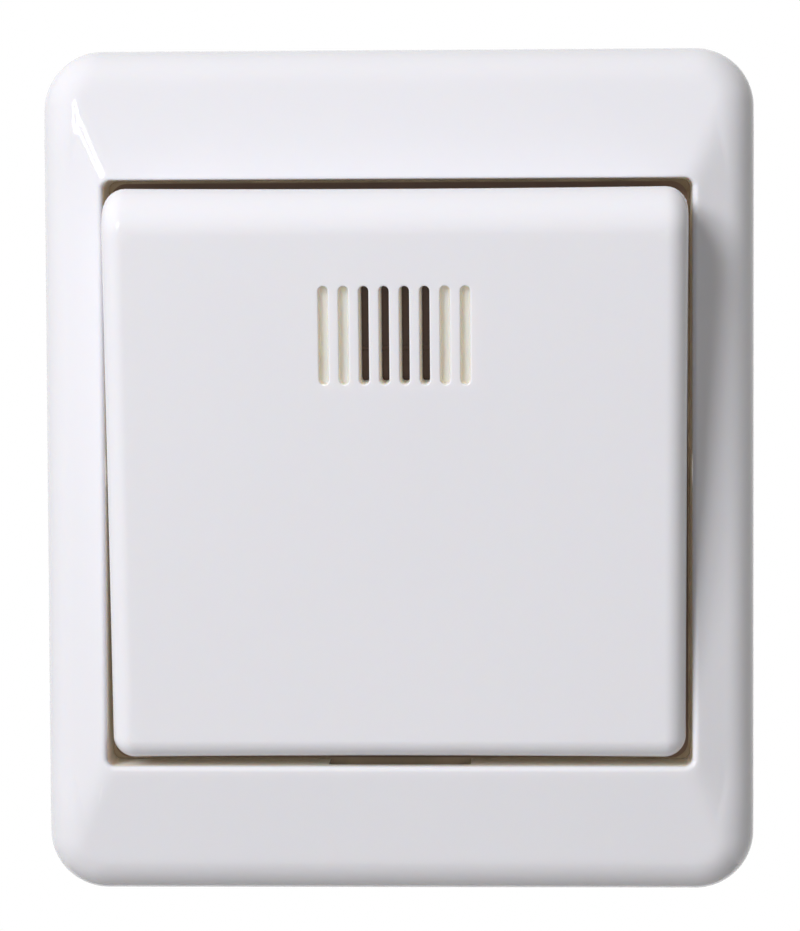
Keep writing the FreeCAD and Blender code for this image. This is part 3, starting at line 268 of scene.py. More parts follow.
# Noise scales are per metre; peelDepth, grainDepth and depthScale are in metres
plasticBase = {
    "cloudScale": 22.0, "handlingScale": 55.0, "roughSpread": 0.02,
    "edgeLight": 0.25, "edgeFrom": 0.52, "edgeTo": 0.6,
    "peelScale": 700.0, "peel": 0.12, "peelDepth": 0.00004,
    "grainFiner": 9, "grain": 0.06, "grainDepth": 0.00001,
    "ior": 1.5, "shine": 0.5, "coat": 0.0, "coatRoughness": 0.1,
    "depth": 0.0, "depthScale": 0.0015, "depthReach": (1.0, 0.75, 0.55),
    "glow": 0.0, "glowColor": color(1.0, 0.86, 0.62),
}
plastics = {
    "frameWhite": {
        "color": color(0.786, 0.782, 0.832), "cloudColor": color(0.774, 0.77, 0.82),
        "edgeColor": color(0.87, 0.87, 0.89), "roughness": 0.07, "roughSpread": 0.01,
        "peel": 0.04, "grain": 0.02, "depth": 0.4,
    },
    "rockerWhite": {
        "color": color(0.816, 0.81, 0.862), "cloudColor": color(0.802, 0.796, 0.848),
        "edgeColor": color(0.87, 0.87, 0.89), "roughness": 0.09, "peel": 0.05, "depth": 0.4,
    },
    "brownThermoset": {
        "color": color(0.27, 0.158, 0.103), "cloudColor": color(0.33, 0.196, 0.13),
        "edgeColor": color(0.38, 0.25, 0.175), "cloudScale": 90.0, "roughness": 0.34,
        "edgeLight": 0.5, "peel": 0.3, "grain": 0.2,
    },
    # Painted shade and light: the warm cream tint stands for the shade in slots and gaps, and the glow for
    # the light that thin white plastic lets through
    "recessPaintedShadeGlow": {
        "color": color(0.89, 0.83, 0.765), "cloudColor": color(0.87, 0.81, 0.74),
        "edgeColor": color(0.93, 0.88, 0.82), "roughness": 0.3, "depth": 1.0, "depthScale": 0.003,
        "glow": 0.05,
    },
    "creamPlastic": {
        "color": color(0.73, 0.68, 0.56), "cloudColor": color(0.68, 0.63, 0.5),
        "edgeColor": color(0.8, 0.76, 0.66), "roughness": 0.36, "depth": 0.1,
    },
    "resistorBody": {
        "color": color(0.52, 0.38, 0.2), "cloudColor": color(0.44, 0.31, 0.16),
        "edgeColor": color(0.62, 0.48, 0.3), "cloudScale": 300.0, "roughness": 0.4, "coat": 0.4,
    },
}


def plasticMaterial(name, look):
    # Moulded plastic: faint clouding, fine orange peel, and convex edges drawn slightly lighter
    material, graph = newMaterial(name)
    where = graph.coordinates()
    cloud = graph.spread(graph.noise(where, look["cloudScale"], detail=4.0), 0.0, 1.0)
    tint = graph.mix(cloud, look["color"], look["cloudColor"])
    handling = graph.noise(where, look["handlingScale"], detail=5.0, roughness=0.6)
    handling = graph.spread(handling, -look["roughSpread"], look["roughSpread"])
    peel = graph.noise(where, look["peelScale"], detail=2.0)
    grain = graph.noise(where, look["peelScale"] * look["grainFiner"], detail=2.0)
    normal = graph.bump(peel, look["peel"], look["peelDepth"])
    normal = graph.bump(grain, look["grain"], look["grainDepth"], normal)
    graph.finish(
        Base_Color=graph.edgeTint(tint, look), Normal=normal,
        Roughness=graph.math("ADD", handling, look["roughness"]),
        IOR=look["ior"], Specular_IOR_Level=look["shine"],
        Coat_Weight=look["coat"], Coat_Roughness=look["coatRoughness"],
        Subsurface_Weight=look["depth"], Subsurface_Scale=look["depthScale"],
        Subsurface_Radius=look["depthReach"],
        Emission_Color=look["glowColor"], Emission_Strength=look["glow"],
    )
    return material


# Squeeze says how many times shorter the grain is along x, y and z
metalBase = {
    "squeeze": (1, 1, 18), "grainScale": 700.0, "grain": 0.25, "grainDepth": 0.00002,
    "grainSmoother": -0.06, "grainRougher": 0.08, "patchScale": 160.0, "patchRougher": 0.06,
    "edgeLight": 0.6, "edgeFrom": 0.52, "edgeTo": 0.62,
}
metals = {
    "zincSteel": {
        "color": color(0.62, 0.63, 0.64), "dullColor": color(0.5, 0.515, 0.53),
        "edgeColor": color(0.8, 0.81, 0.82), "roughness": 0.3, "squeeze": (12, 1, 1),
    },
    # No edge light: on the ring's long faces it would show as streaks between the holes. The brown-olive
    # tint is partly painted shade, set to the tone of the shaded gap round the rocker, and partly stands
    # for passivation
    "passivatedGapShadeSteel": {
        "color": color(0.6, 0.48, 0.33), "dullColor": color(0.47, 0.37, 0.25),
        "edgeColor": color(0.76, 0.66, 0.5), "roughness": 0.42, "squeeze": (12, 1, 1),
        "edgeLight": 0.0,
    },
    "brightSteel": {
        "color": color(0.6, 0.6, 0.61), "dullColor": color(0.52, 0.52, 0.53),
        "edgeColor": color(0.78, 0.78, 0.79), "roughness": 0.2,
    },
    "springSteel": {
        "color": color(0.42, 0.42, 0.44), "dullColor": color(0.33, 0.32, 0.33),
        "edgeColor": color(0.62, 0.62, 0.64), "roughness": 0.28,
    },
    "springBronze": {
        "color": color(0.66, 0.41, 0.24), "dullColor": color(0.5, 0.29, 0.16),
        "edgeColor": color(0.82, 0.58, 0.4), "roughness": 0.26,
    },
    "brass": {
        "color": color(0.72, 0.54, 0.25), "dullColor": color(0.58, 0.41, 0.18),
        "edgeColor": color(0.86, 0.7, 0.42), "roughness": 0.27,
    },
    "contactSilver": {
        "color": color(0.8, 0.79, 0.76), "dullColor": color(0.66, 0.64, 0.6),
        "edgeColor": color(0.9, 0.89, 0.87), "roughness": 0.22, "squeeze": (1, 1, 1),
    },
    "tinnedCopper": {
        "color": color(0.66, 0.63, 0.6), "dullColor": color(0.56, 0.52, 0.48),
        "edgeColor": color(0.78, 0.75, 0.72), "roughness": 0.24, "squeeze": (1, 1, 1),
    },
}


def metalMaterial(name, look):
    # Metal: drawn or rolled grain, dull patches and bright worn edges
    material, graph = newMaterial(name)
    grain = graph.noise(graph.coordinates(look["squeeze"]), look["grainScale"], detail=4.0, roughness=0.65)
    patches = graph.noise(graph.coordinates(), look["patchScale"], detail=5.0, roughness=0.6)
    patches = graph.spread(patches, 0.0, 1.0)
    tint = graph.mix(patches, look["color"], look["dullColor"])
    rough = graph.spread(grain, look["grainSmoother"], look["grainRougher"])
    rough = graph.math("ADD", rough, look["roughness"])
    rough = graph.math("ADD", rough, graph.math("MULTIPLY", patches, look["patchRougher"]))
    graph.finish(
        Base_Color=graph.edgeTint(tint, look), Metallic=1.0, Roughness=rough,
        Normal=graph.bump(grain, look["grain"], look["grainDepth"]),
    )
    return material


smokedLook = {
    "color": color(0.078, 0.044, 0.03), "cloudColor": color(0.094, 0.054, 0.038), "cloudScale": 260.0,
    "smoothest": 0.3, "roughest": 0.4, "shine": 0.3, "hazeScale": 3200.0, "haze": 0.1, "hazeDepth": 0.00002,
}


def smokedMaterial(name, look):
    # Dark lens: brown body colour with a soft haze
    material, graph = newMaterial(name)
    where = graph.coordinates()
    cloud = graph.spread(graph.noise(where, look["cloudScale"], detail=3.0), 0.0, 1.0)
    haze = graph.noise(where, look["hazeScale"], detail=2.0)
    graph.finish(
        Base_Color=graph.mix(cloud, look["color"], look["cloudColor"]),
        Roughness=graph.spread(cloud, look["smoothest"], look["roughest"], 0.0, 1.0),
        Specular_IOR_Level=look["shine"], Normal=graph.bump(haze, look["haze"], look["hazeDepth"]),
    )
    return material


glassLook = {
    "color": color(0.93, 0.93, 0.92), "hazeColor": color(0.86, 0.87, 0.86), "squeeze": (1, 1, 6),
    "smoothest": 0.02, "roughest": 0.09, "ior": 1.46, "hazeScale": 320.0, "haze": 0.1, "hazeDepth": 0.00002,
}


def glassMaterial(name, look):
    # Clear glass with faint bands of haze across the capsule
    material, graph = newMaterial(name)
    haze = graph.noise(graph.coordinates(look["squeeze"]), look["hazeScale"], detail=3.0)
    graph.finish(
        Base_Color=graph.mix(graph.spread(haze, 0.0, 1.0), look["color"], look["hazeColor"]),
        Roughness=graph.spread(haze, look["smoothest"], look["roughest"]),
        IOR=look["ior"], Transmission_Weight=1.0,
        Normal=graph.bump(haze, look["haze"], look["hazeDepth"]),
    )
    return material


materials = {name: plasticMaterial(name, {**plasticBase, **look}) for name, look in plastics.items()}
materials.update({name: metalMaterial(name, {**metalBase, **look}) for name, look in metals.items()})
materials["smokedWindow"] = smokedMaterial("smokedWindow", smokedLook)
materials["lampGlass"] = glassMaterial("lampGlass", glassLook)
print("materials made")


# Cover frame

coverShape = {
    "halfWide": 42.5, "halfTall": 50.5, "corner": 7.0, "halfOpening": 34.95, "openingCorner": 1.0,
    "lipHeight": 9.0, "footHeight": 6.16, "edgeRound": 5.0, "lipRound": 0.55, "topLipRound": 0.25,
    "mitreNear": 0.55, "mitreFar": 0.95,  # how far the slopes blend at the lip and at the foot
    "rimHeight": 0.25, "rimStep": 0.2,  # chamfer along the wall
    "wall": 2.0, "crown": 2.2, "hollowCorner": 5.0, "skirtWall": 1.5, "skirtEnd": 1.5,
    "notchHalf": 8.5, "notchTop": 6.7, "notchSlip": 0.01,
    "sideSteps": 36, "cornerSteps": 26, "lipSteps": 6, "slopeSteps": 16, "edgeSteps": 14,
}


def slopeHeight(shape, x, z):
    # Lowest of the side slope and the end slope, blended where they meet
    lip, fall = shape["lipHeight"], shape["lipHeight"] - shape["footHeight"]
    opening = shape["halfOpening"]
    side = lip - fall / (shape["halfWide"] - opening) * (abs(x) - opening)
    end = lip - fall / (shape["halfTall"] - opening) * (abs(z) - opening)
    share = (lip - min(side, end)) / fall
    blend = shape["mitreNear"] + (shape["mitreFar"] - shape["mitreNear"]) * share
    near = max(0.0, 1 - abs(side - end) / blend)
    return min(side, end) - blend / 4 * near * near


def slopeAngle(shape, x, z, outX, outZ, step=0.05):
    # How steeply the slope falls outwards, measured over a short step
    drop = slopeHeight(shape, x, z) - slopeHeight(shape, x + outX * step, z + outZ * step)
    return math.atan(drop / step)


def slopeArc(shape, x, z, outX, outZ, radius, inner, steps):
    # An arc that touches the slope and stands over (x, z): the inner one comes up from the
    # opening's wall, the other one goes down to the outer edge
    angle = slopeAngle(shape, x, z, outX, outZ)
    center = slopeHeight(shape, x, z) - radius / math.cos(angle)
    start, end = (-quarterTurn, angle) if inner else (angle, quarterTurn)
    points = []
    for step in range(steps + 1):
        turn = start + (end - start) * step / steps
        reach = math.sin(turn) * radius
        points.append((x + outX * reach, z + outZ * reach, center + math.cos(turn) * radius))
    return points


def coverColumn(shape, outer, inner, hollow):
    # One cut through the frame as (x, z, height): up the opening's wall, over lip, slope and
    # outer edge, and back through the hollow to the skirt
    outerX, outerZ, outX, outZ = outer
    innerX, innerZ, inX, inZ = inner
    hollowX, hollowZ = hollow[:2]
    notched = innerZ < 0 and abs(innerX) < shape["notchHalf"]
    skirtEnd = shape["notchTop"] if notched else shape["skirtEnd"]
    lip = shape["lipRound"] + (shape["topLipRound"] - shape["lipRound"]) * max(0.0, inZ)
    edge = shape["edgeRound"]
    lipX, lipZ = innerX + inX * lip, innerZ + inZ * lip
    edgeX, edgeZ = outerX - outX * edge, outerZ - outZ * edge
    lipArc = slopeArc(shape, lipX, lipZ, inX, inZ, lip, True, shape["lipSteps"])
    edgeArc = slopeArc(shape, edgeX, edgeZ, outX, outZ, edge, False, shape["edgeSteps"])
    (startX, startZ, _), (endX, endZ, _) = lipArc[-1], edgeArc[0]
    slope = []
    for step in range(1, shape["slopeSteps"]):
        share = step / shape["slopeSteps"]
        x, z = startX + (endX - startX) * share, startZ + (endZ - startZ) * share
        slope.append((x, z, slopeHeight(shape, x, z)))
    rimX, rimZ = outerX - outX * shape["rimStep"], outerZ - outZ * shape["rimStep"]
    skirtX, skirtZ = innerX + inX * shape["skirtWall"], innerZ + inZ * shape["skirtWall"]
    skirtTop = shape["lipHeight"] - shape["crown"]
    back = [
        (outerX, outerZ, shape["rimHeight"]), (rimX, rimZ, 0.0), (hollowX, hollowZ, 0.0),
        (hollowX, hollowZ, shape["footHeight"] - shape["crown"]),
        (skirtX, skirtZ, skirtTop), (skirtX, skirtZ, min(skirtEnd, skirtTop)),
    ]
    return [(innerX, innerZ, skirtEnd)] + lipArc + slope + edgeArc + back


def makeCoverFrame(shape):
    shares, opening = sideShares(shape["sideSteps"]), shape["halfOpening"]
    # The lower side has four more stations, just inside and outside the notch's ends
    slips = (-shape["notchSlip"], shape["notchSlip"])
    notchEnds = [sign * (shape["notchHalf"] + slip) for sign in (-1, 1) for slip in slips]
    straightHalf = opening - shape["openingCorner"]
    lowerShares = sorted(shares + [0.5 + end / straightHalf / 2 for end in notchEnds])
    sides = [shares, shares, shares, lowerShares]
    loops = []
    for halfWide, halfTall, corner in (
            (shape["halfWide"], shape["halfTall"], shape["corner"]),
            (opening, opening, shape["openingCorner"]),
            (shape["halfWide"] - shape["wall"], shape["halfTall"] - shape["wall"], shape["hollowCorner"])):
        loops.append(roundedLoop(halfWide, halfTall, corner, sides, shape["cornerSteps"]))
    made = Shape()
    rings = []
    for stations in zip(*loops):
        column = coverColumn(shape, *stations)
        rings.append(made.ring([(x, -height, z) for x, z, height in column]))
    for first, second in zip(rings, rings[1:] + rings[:1]):
        made.band(first, second)
    piece = newPiece("coverFrameMoulding", made.points, made.faces, "root", ["cover_frame"])
    # The first face of each column is the inner wall of the opening, which gets the painted recess shade
    # and glow
    giveFinishes(piece, "frameWhite", "recessPaintedShadeGlow", range(0, len(made.faces), len(rings[0])))
    return piece


coverFrame = makeCoverFrame(coverShape)
print("cover frame made")


# Rocker, drawn round its pivot axis as (x, v up the face, w off the face) and then tilted

rockerShape = {
    "half": 34.15, "low": -33.8, "high": 34.08, "edgeRound": 2.6, "topRound": 5.0, "faceRise": 4.7,
    "ceilingRise": 2.5, "wall": 1.8, "lowEnd": -1.3, "highEnd": -6.9, "sideBow": 0.04, "endBow": 0.15,
    "pivotHeight": 10.6, "restTilt": 8.0, "leanFrom": 20.0,
    "edgeSteps": 18, "cornerSteps": 12, "sideSteps": 20,
    "slotCount": 8, "openCount": 4, "slotSpacing": 2.36, "slotWidth": 1.15, "slotLength": 11.6,
    "slotPlace": 17.4, "blindDepth": 1.0, "slotRim": 0.16, "slotFoot": 0.2, "slotLean": 0.12,
    "slotEndSteps": 8, "slotRimSteps": 5, "slotFootSteps": 3,
    "ribPlace": 5.12, "ribWide": 1.0, "ribLow": 10.7, "ribHigh": 24.1, "ribEnd": 0.9,
    "hookPlaces": (-10.0, 11.0), "hookLong": 5.0, "hookGrip": 20.3, "hookThick": 1.4, "hookBarb": 0.5,
    "barbTop": 0.4, "barbEnd": -0.3,
    "sunkRoot": 0.2,  # how far ribs and hooks reach into the ceiling
}


def tilted(shape, point):
    x, v, w = point
    turn = math.radians(shape["restTilt"])
    y = -w * math.cos(turn) - v * math.sin(turn) - shape["pivotHeight"]
    return (x, y, v * math.cos(turn) - w * math.sin(turn))


def slotLoop(shape, middle, grow):
    # Points round one slot, anticlockwise seen from the front
    radius = shape["slotWidth"] / 2 + grow
    reach = shape["slotLength"] / 2 - shape["slotWidth"] / 2
    points = []
    for sign in (1, -1):
        start = 0 if sign > 0 else math.pi
        for step in range(shape["slotEndSteps"] + 1):
            turn = start + math.pi * step / shape["slotEndSteps"]
            across, along = radius * math.cos(turn), sign * reach + radius * math.sin(turn)
            points.append((middle + across, shape["slotPlace"] + along))
    return points


def cornerTilts(tilt, azimuth, halvings=30):
    # How far the surface leans sideways and endways where two roundings of unlike size meet,
    # for a given lean away from the face, found by halving
    sideways, endways = math.cos(azimuth), math.sin(azimuth)
    near, far = 0.0, quarterTurn / max(sideways, endways)
    for _ in range(halvings):
        middle = (near + far) / 2
        if math.cos(middle * sideways) * math.cos(middle * endways) > math.cos(tilt):
            near = middle
        else:
            far = middle
    return near * sideways, near * endways


def rockerRing(shape, tilt):
    # Points round the rocker where its rounded edge leans a given angle away from the face
    small, rise = shape["edgeRound"], shape["faceRise"]
    drop = small * (1 - math.cos(tilt))
    flatHalf = shape["half"] - small
    cornerSteps = shape["cornerSteps"]
    points = []

    def end(sign, sideways, endways):
        # One point of an end's rounding, and of the corner beside it
        large = shape["topRound"] if sign > 0 else small
        tip = shape["high"] if sign > 0 else shape["low"]
        core = large - small * (1 - math.cos(sideways))
        along = tip - sign * large + sign * core * math.sin(endways)
        return small * math.sin(sideways), along, rise - large + core * math.cos(endways)

    def sideEdge(sign, shares):
        first, last = shape["low"] + small, shape["high"] - shape["topRound"]
        for share in shares:
            bow = shape["sideBow"] * bowShare(share) * math.sin(tilt)
            reach = flatHalf + small * math.sin(tilt) - bow
            points.append((sign * reach, first + (last - first) * share, rise - drop))

    def endEdge(sign, shares):
        for share in shares:
            bow = shape["endBow"] * bowShare(share) * math.sin(tilt)
            _, along, height = end(sign, 0.0, tilt)
            points.append(((share * 2 - 1) * flatHalf, along - sign * bow, height))

    def corner(signX, sign, order):
        for step in order:
            sideways, endways = cornerTilts(tilt, quarterTurn * step / cornerSteps)
            reach, along, height = end(sign, sideways, endways)
            points.append((signX * (flatHalf + reach), along, height))

    rising, between = sideShares(shape["sideSteps"]), range(1, cornerSteps)
    sideEdge(1, rising)
    corner(1, 1, between)
    endEdge(1, rising[::-1])
    corner(-1, 1, reversed(between))
    sideEdge(-1, rising[::-1])
    corner(-1, -1, between)
    endEdge(-1, rising)
    corner(1, -1, reversed(between))
    return points


def addWalls(made, shape):
    # The rounded edge of the face, the walls down to their slanting foot and up inside to the
    # ceiling; gives the loops round face and ceiling
    steps = shape["edgeSteps"]
    rings = [made.ring(rockerRing(shape, quarterTurn * step / steps)) for step in range(steps + 1)]
    brim = [made.points[i] for i in rings[-1]]
    lean = math.tan(math.radians(shape["restTilt"]))
    slant = shape["highEnd"] - shape["lowEnd"]
    span = shape["high"] - shape["low"]

    def footPoint(x, v, inset):
        # A point of the wall's foot, where the upper end has leant in
        height = shape["lowEnd"] + slant * (v - shape["low"]) / span
        drop = max(0.0, shape["faceRise"] - shape["topRound"] - height)
        share = max(0.0, (v - shape["leanFrom"]) / (shape["high"] - shape["leanFrom"]))
        reach, low = shape["half"] - inset, shape["low"] + inset
        high = shape["high"] - inset - lean * drop
        return max(-reach, min(reach, x)), max(low, min(high, v - lean * drop * share)), height

    for inset in (0.0, shape["wall"]):
        rings.append(made.ring([footPoint(x, v, inset) for x, v, _ in brim]))
    rings.append(made.ring([made.points[i][:2] + (shape["ceilingRise"],) for i in rings[-1]]))
    for first, second in zip(rings, rings[1:]):
        made.band(second, first)
    return rings[0], rings[-1]


def addSlot(made, shape, middle, isOpen):
    # A rounded rim, straight walls, and a floor where the slot is blind; gives the loops at the
    # slot's front and back, and the numbers of the faces below its rim
    rim, rimSteps = shape["slotRim"], shape["slotRimSteps"]
    loops = []
    for step in range(rimSteps + 1):
        turn = quarterTurn * step / rimSteps
        outline = slotLoop(shape, middle, rim * (1 - math.sin(turn)))
        height = shape["faceRise"] - rim * (1 - math.cos(turn))
        loops.append(made.ring([(x, v, height) for x, v in outline]))
    floorStart = len(made.faces)
    if isOpen:
        lean = shape["slotLean"]
        outline = slotLoop(shape, middle + lean, -lean)
        loops.append(made.ring([(x, v, shape["ceilingRise"]) for x, v in outline]))
    else:
        narrow, footSteps = shape["slotFoot"], shape["slotFootSteps"]
        floor = shape["faceRise"] - shape["blindDepth"]
        for step in range(footSteps + 1):
            turn = quarterTurn * step / footSteps
            outline = slotLoop(shape, middle, -narrow * (1 - math.cos(turn)))
            height = floor + narrow * (1 - math.sin(turn))
            loops.append(made.ring([(x, v, height) for x, v in outline]))
        made.sheet([loops[-1]], floor, True)
    deepFaces = list(range(floorStart, len(made.faces)))
    wallStart = len(made.faces) + rimSteps * len(loops[0])
    for first, second in zip(loops, loops[1:]):
        made.band(second, first)
    return loops[0], loops[-1], deepFaces + list(range(wallStart, len(made.faces)))


def addPrism(made, outline, start, end, place):
    # A straight bar: the outline is swept from start to end, and place turns its points to (x, v, w)
    made.bar([made.ring([place(a, b, along) for a, b in outline]) for along in (start, end)])


def addRibs(made, shape):
    top = shape["ceilingRise"] + shape["sunkRoot"]
    for sign in (1, -1):
        near, far = sorted((sign * shape["ribPlace"], sign * (shape["ribPlace"] + shape["ribWide"])))
        outline = [(near, shape["ribEnd"]), (far, shape["ribEnd"]), (far, top), (near, top)]
        addPrism(made, outline, shape["ribHigh"], shape["ribLow"], lambda a, b, along: (a, along, b))


def addHooks(made, shape):
    top, grip = shape["ceilingRise"] + shape["sunkRoot"], shape["hookGrip"]
    barb, back = grip - shape["hookBarb"], grip + shape["hookThick"]
    outline = [
        (grip, top), (grip, shape["barbTop"]), (barb, shape["barbTop"]), (barb, shape["barbEnd"]),
        (back, shape["barbEnd"]), (back, top),
    ]
    for middle in shape["hookPlaces"]:
        for sign in (1, -1):
            ends = [middle + sign * shape["hookLong"] / 2, middle - sign * shape["hookLong"] / 2]
            addPrism(made, outline, *ends, lambda a, b, along: (sign * a, along, b))


def makeButtonRocker(shape):
    made = Shape()
    face, ceiling = addWalls(made, shape)
    faceHoles, ceilingHoles, recessShadeFaces = [], [], []
    for index in range(shape["slotCount"]):
        place = index - (shape["slotCount"] - 1) / 2
        isOpen = abs(place) < shape["openCount"] / 2
        front, back, deepFaces = addSlot(made, shape, place * shape["slotSpacing"], isOpen)
        faceHoles.append(front)
        if isOpen:
            ceilingHoles.append(back)
        recessShadeFaces += deepFaces
    made.sheet([face] + faceHoles, shape["faceRise"], True)
    made.sheet([ceiling] + ceilingHoles, shape["ceilingRise"], False)
    addRibs(made, shape)
    addHooks(made, shape)
    points = [tilted(shape, p) for p in made.points]
    rocker = newPiece("rockerCap", points, made.faces, "button", ["button_rocker"])
    # The slots' walls and blind floors get the painted recess shade and glow
    giveFinishes(rocker, "rockerWhite", "recessPaintedShadeGlow", recessShadeFaces)
    return rocker


buttonRocker = makeButtonRocker(rockerShape)
weightNormals(buttonRocker)
print("rocker made")


# Light window: a smoked lens behind the open slots, held at its lower end by a foot in the painted recess
# shade and glow

windowShape = {
    "half": 5.0, "low": 10.7, "high": 24.1, "back": 1.2, "front": 2.5, "sunk": 0.22, "footTop": 11.75,
    "footEdge": 0.02, "topBar": 23.4, "ridgePlace": 15.6, "ridgeHalf": 0.16, "ridgeRise": 0.1,
    "bevel": 0.15, "smoothAngle": 25,
}


def makeLightWindow(shape):
    low, high, back, front = shape["low"], shape["high"], shape["back"], shape["front"]
    lens = front - shape["sunk"]
    ridge, ridgeHalf, ridgeTop = shape["ridgePlace"], shape["ridgeHalf"], lens + shape["ridgeRise"]
    outline = [
        (low, back), (high, back), (high, front), (shape["topBar"], front),
        (shape["topBar"] - shape["sunk"], lens), (ridge + ridgeHalf * 2, lens),
        (ridge + ridgeHalf, ridgeTop), (ridge - ridgeHalf, ridgeTop), (ridge - ridgeHalf * 2, lens),
        (shape["footTop"] + shape["footEdge"], lens), (shape["footTop"], front), (low, front),
    ]
    middleV, middleW = (low + high) / 2, (back + front) / 2
    shrinkV, shrinkW = 1 - shape["bevel"] / (high - middleV), 1 - shape["bevel"] / (front - middleW)
    narrow = [(middleV + (v - middleV) * shrinkV, middleW + (w - middleW) * shrinkW) for v, w in outline]
    half, flatHalf = shape["half"], shape["half"] - shape["bevel"]
    made = Shape()
    sections = ((-half, narrow), (-flatHalf, outline), (flatHalf, outline), (half, narrow))
    made.bar([made.ring([(x, v, w) for v, w in section]) for x, section in sections])
    points = [tilted(rockerShape, p) for p in made.points]
    smoothAngle = shape["smoothAngle"]
    window = newPiece("smokedLens", points, made.faces, "button", ["light_window"], smoothAngle)
    # The last three sides of the outline are the foot's, which gets the painted recess shade and glow
    sides = len(outline)
    foot = [sides * band + side for band in range(len(sections) - 1) for side in range(sides - 3, sides)]
    giveFinishes(window, "smokedWindow", "recessPaintedShadeGlow", foot)
    return window


lightWindow = makeLightWindow(windowShape)
print("light window made")


# Coil springs with closed ends, standing square to the wall; lengths run along -Y

# Closed pitch is in wire radii, and ease is the share of a turn over which the pitch opens
coil = {"stepsPerTurn": 32, "wireSides": 10, "closedTurns": 1.0, "closedPitch": 2.04, "ease": 0.5}
returnSpring = {
    "z": 10.0, "foot": 2.72, "top": 10.58, "radius": 2.6, "wire": 0.25, "turns": 4.5, "keep": 0.823,
}
springShapes = {
    "returnSpringRight": {**coil, **returnSpring, "node": "return_spring_right", "x": 10.5},
    "returnSpringLeft": {**coil, **returnSpring, "node": "return_spring_left", "x": -10.5},
    "contactSpring": {
        **coil, "node": "contact_spring", "x": 10.5, "z": 2.0, "foot": -9.98, "top": -1.87,
        "radius": 1.6, "wire": 0.2, "turns": 5.0, "keep": 0.905,
    },
}


def coilHeights(shape):
    # Height of the wire's middle at each step, tight at both ends and open between
    wire, closed, stepsPerTurn = shape["wire"], shape["closedTurns"], shape["stepsPerTurn"]
    turns = shape["turns"] + closed * 2
    length = shape["top"] - shape["foot"] - wire * 2
    tight = wire * shape["closedPitch"]
    openPitch = (length - tight * closed * 2) / (turns - closed * 2)
    heights = [0.0]
    for step in range(round(turns * stepsPerTurn)):
        turn = (step + 0.5) / stepsPerTurn
        near = min(turn, turns - turn) - closed
        # Eased from one pitch to the other
        share = min(1.0, max(0.0, near / shape["ease"] + 0.5))
        heights.append(heights[-1] + tight + (openPitch - tight) * share * share * (3 - 2 * share))
    fit = length / heights[-1]
    return [height * fit for height in heights]


def makeCoilSpring(name, shape):
    wire, wireSides = shape["wire"], shape["wireSides"]
    made = Shape()
    rings = []
    for step, height in enumerate(coilHeights(shape)):
        angle = step / shape["stepsPerTurn"] * 2 * math.pi
        outX, outZ = math.cos(angle), math.sin(angle)
        ring = []
        for side in range(wireSides):
            turn = side / wireSides * 2 * math.pi
            reach = shape["radius"] + wire * math.cos(turn)
            rise = shape["foot"] + wire + height + wire * math.sin(turn)
            ring.append((shape["x"] + outX * reach, -rise, shape["z"] + outZ * reach))
        rings.append(made.ring(ring))
    made.bar(rings)
    spring = newPiece(name, made.points, made.faces, "root", [shape["node"]])
    spring.data.materials.append(materials["springSteel"])
    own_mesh(spring)


for name, shape in springShapes.items():
    makeCoilSpring(name, shape)
print("springs made")


# Finishes of the nodes that stay as they are

finishes = {
    "brownThermoset": ["rocker_carrier", "mechanism_cover", "mechanism_base"],
    "creamPlastic": ["contact_plunger", "spring_plunger"],
    "resistorBody": ["series_resistor"],
    "zincSteel": [
        "cover_screws", "terminal_screws", "claw_right", "claw_left", "claw_screw_right",
        "claw_screw_left", "claw_nut_right", "claw_nut_left",
    ],
    "passivatedGapShadeSteel": ["support_ring"],
    "brightSteel": ["pivot_pin", "contact_pin", "lamp_electrodes"],
    "springSteel": ["frame_clip_top", "frame_clip_bottom"],
    "springBronze": ["moving_contact"],
    "contactSilver": ["moving_contact_tip", "fixed_contact_tip"],
    "brass": [
        "fixed_contact", "contact_bracket", "live_terminal", "switched_terminal", "lamp_terminal",
        "neutral_terminal", "clip_rivets",
    ],
    "tinnedCopper": ["lamp_lead_upper", "lamp_lead_lower", "resistor_lead"],
    "lampGlass": ["neon_lamp_glass"],
}
for finish, names in finishes.items():
    for name in names:
        for place in nodes[name].material_slots:
            place.material = materials[finish]
print("finishes given")


# Floor, surroundings, lights and camera

floorLook = {
    "half": 900.0, "below": 900.0, "color": color(0.93, 0.93, 0.93), "cloudColor": color(0.9, 0.9, 0.91),
    "cloudScale": 6.0, "roughness": 0.7,
}


def makeFloor(look):
    half, height = look["half"], -look["below"]
    corners = [(-half, -half), (half, -half), (half, half), (-half, half)]
    mesh = bpy.data.meshes.new("floor")
    mesh.from_pydata([Vector((x, y, height)) * millimetre for x, y in corners], [], [(0, 1, 2, 3)])
    floor = bpy.data.objects.new("floor", mesh)
    bpy.context.scene.collection.objects.link(floor)
    material, graph = newMaterial("paleFloor")
    cloud = graph.noise(graph.coordinates(), look["cloudScale"], detail=4.0)
    tint = graph.mix(graph.spread(cloud, 0.0, 1.0), look["color"], look["cloudColor"])
    graph.finish(Base_Color=tint, Roughness=look["roughness"])
    mesh.materials.append(material)


# Dim all round and bright behind the object; below and above scale that level with the height
surroundings = {
    "front": 0.205, "behind": 1.0, "frontFrom": 0.6, "behindFrom": 0.97, "below": 0.5, "above": 1.5,
    "shade": color(1.0, 0.985, 0.93),
}


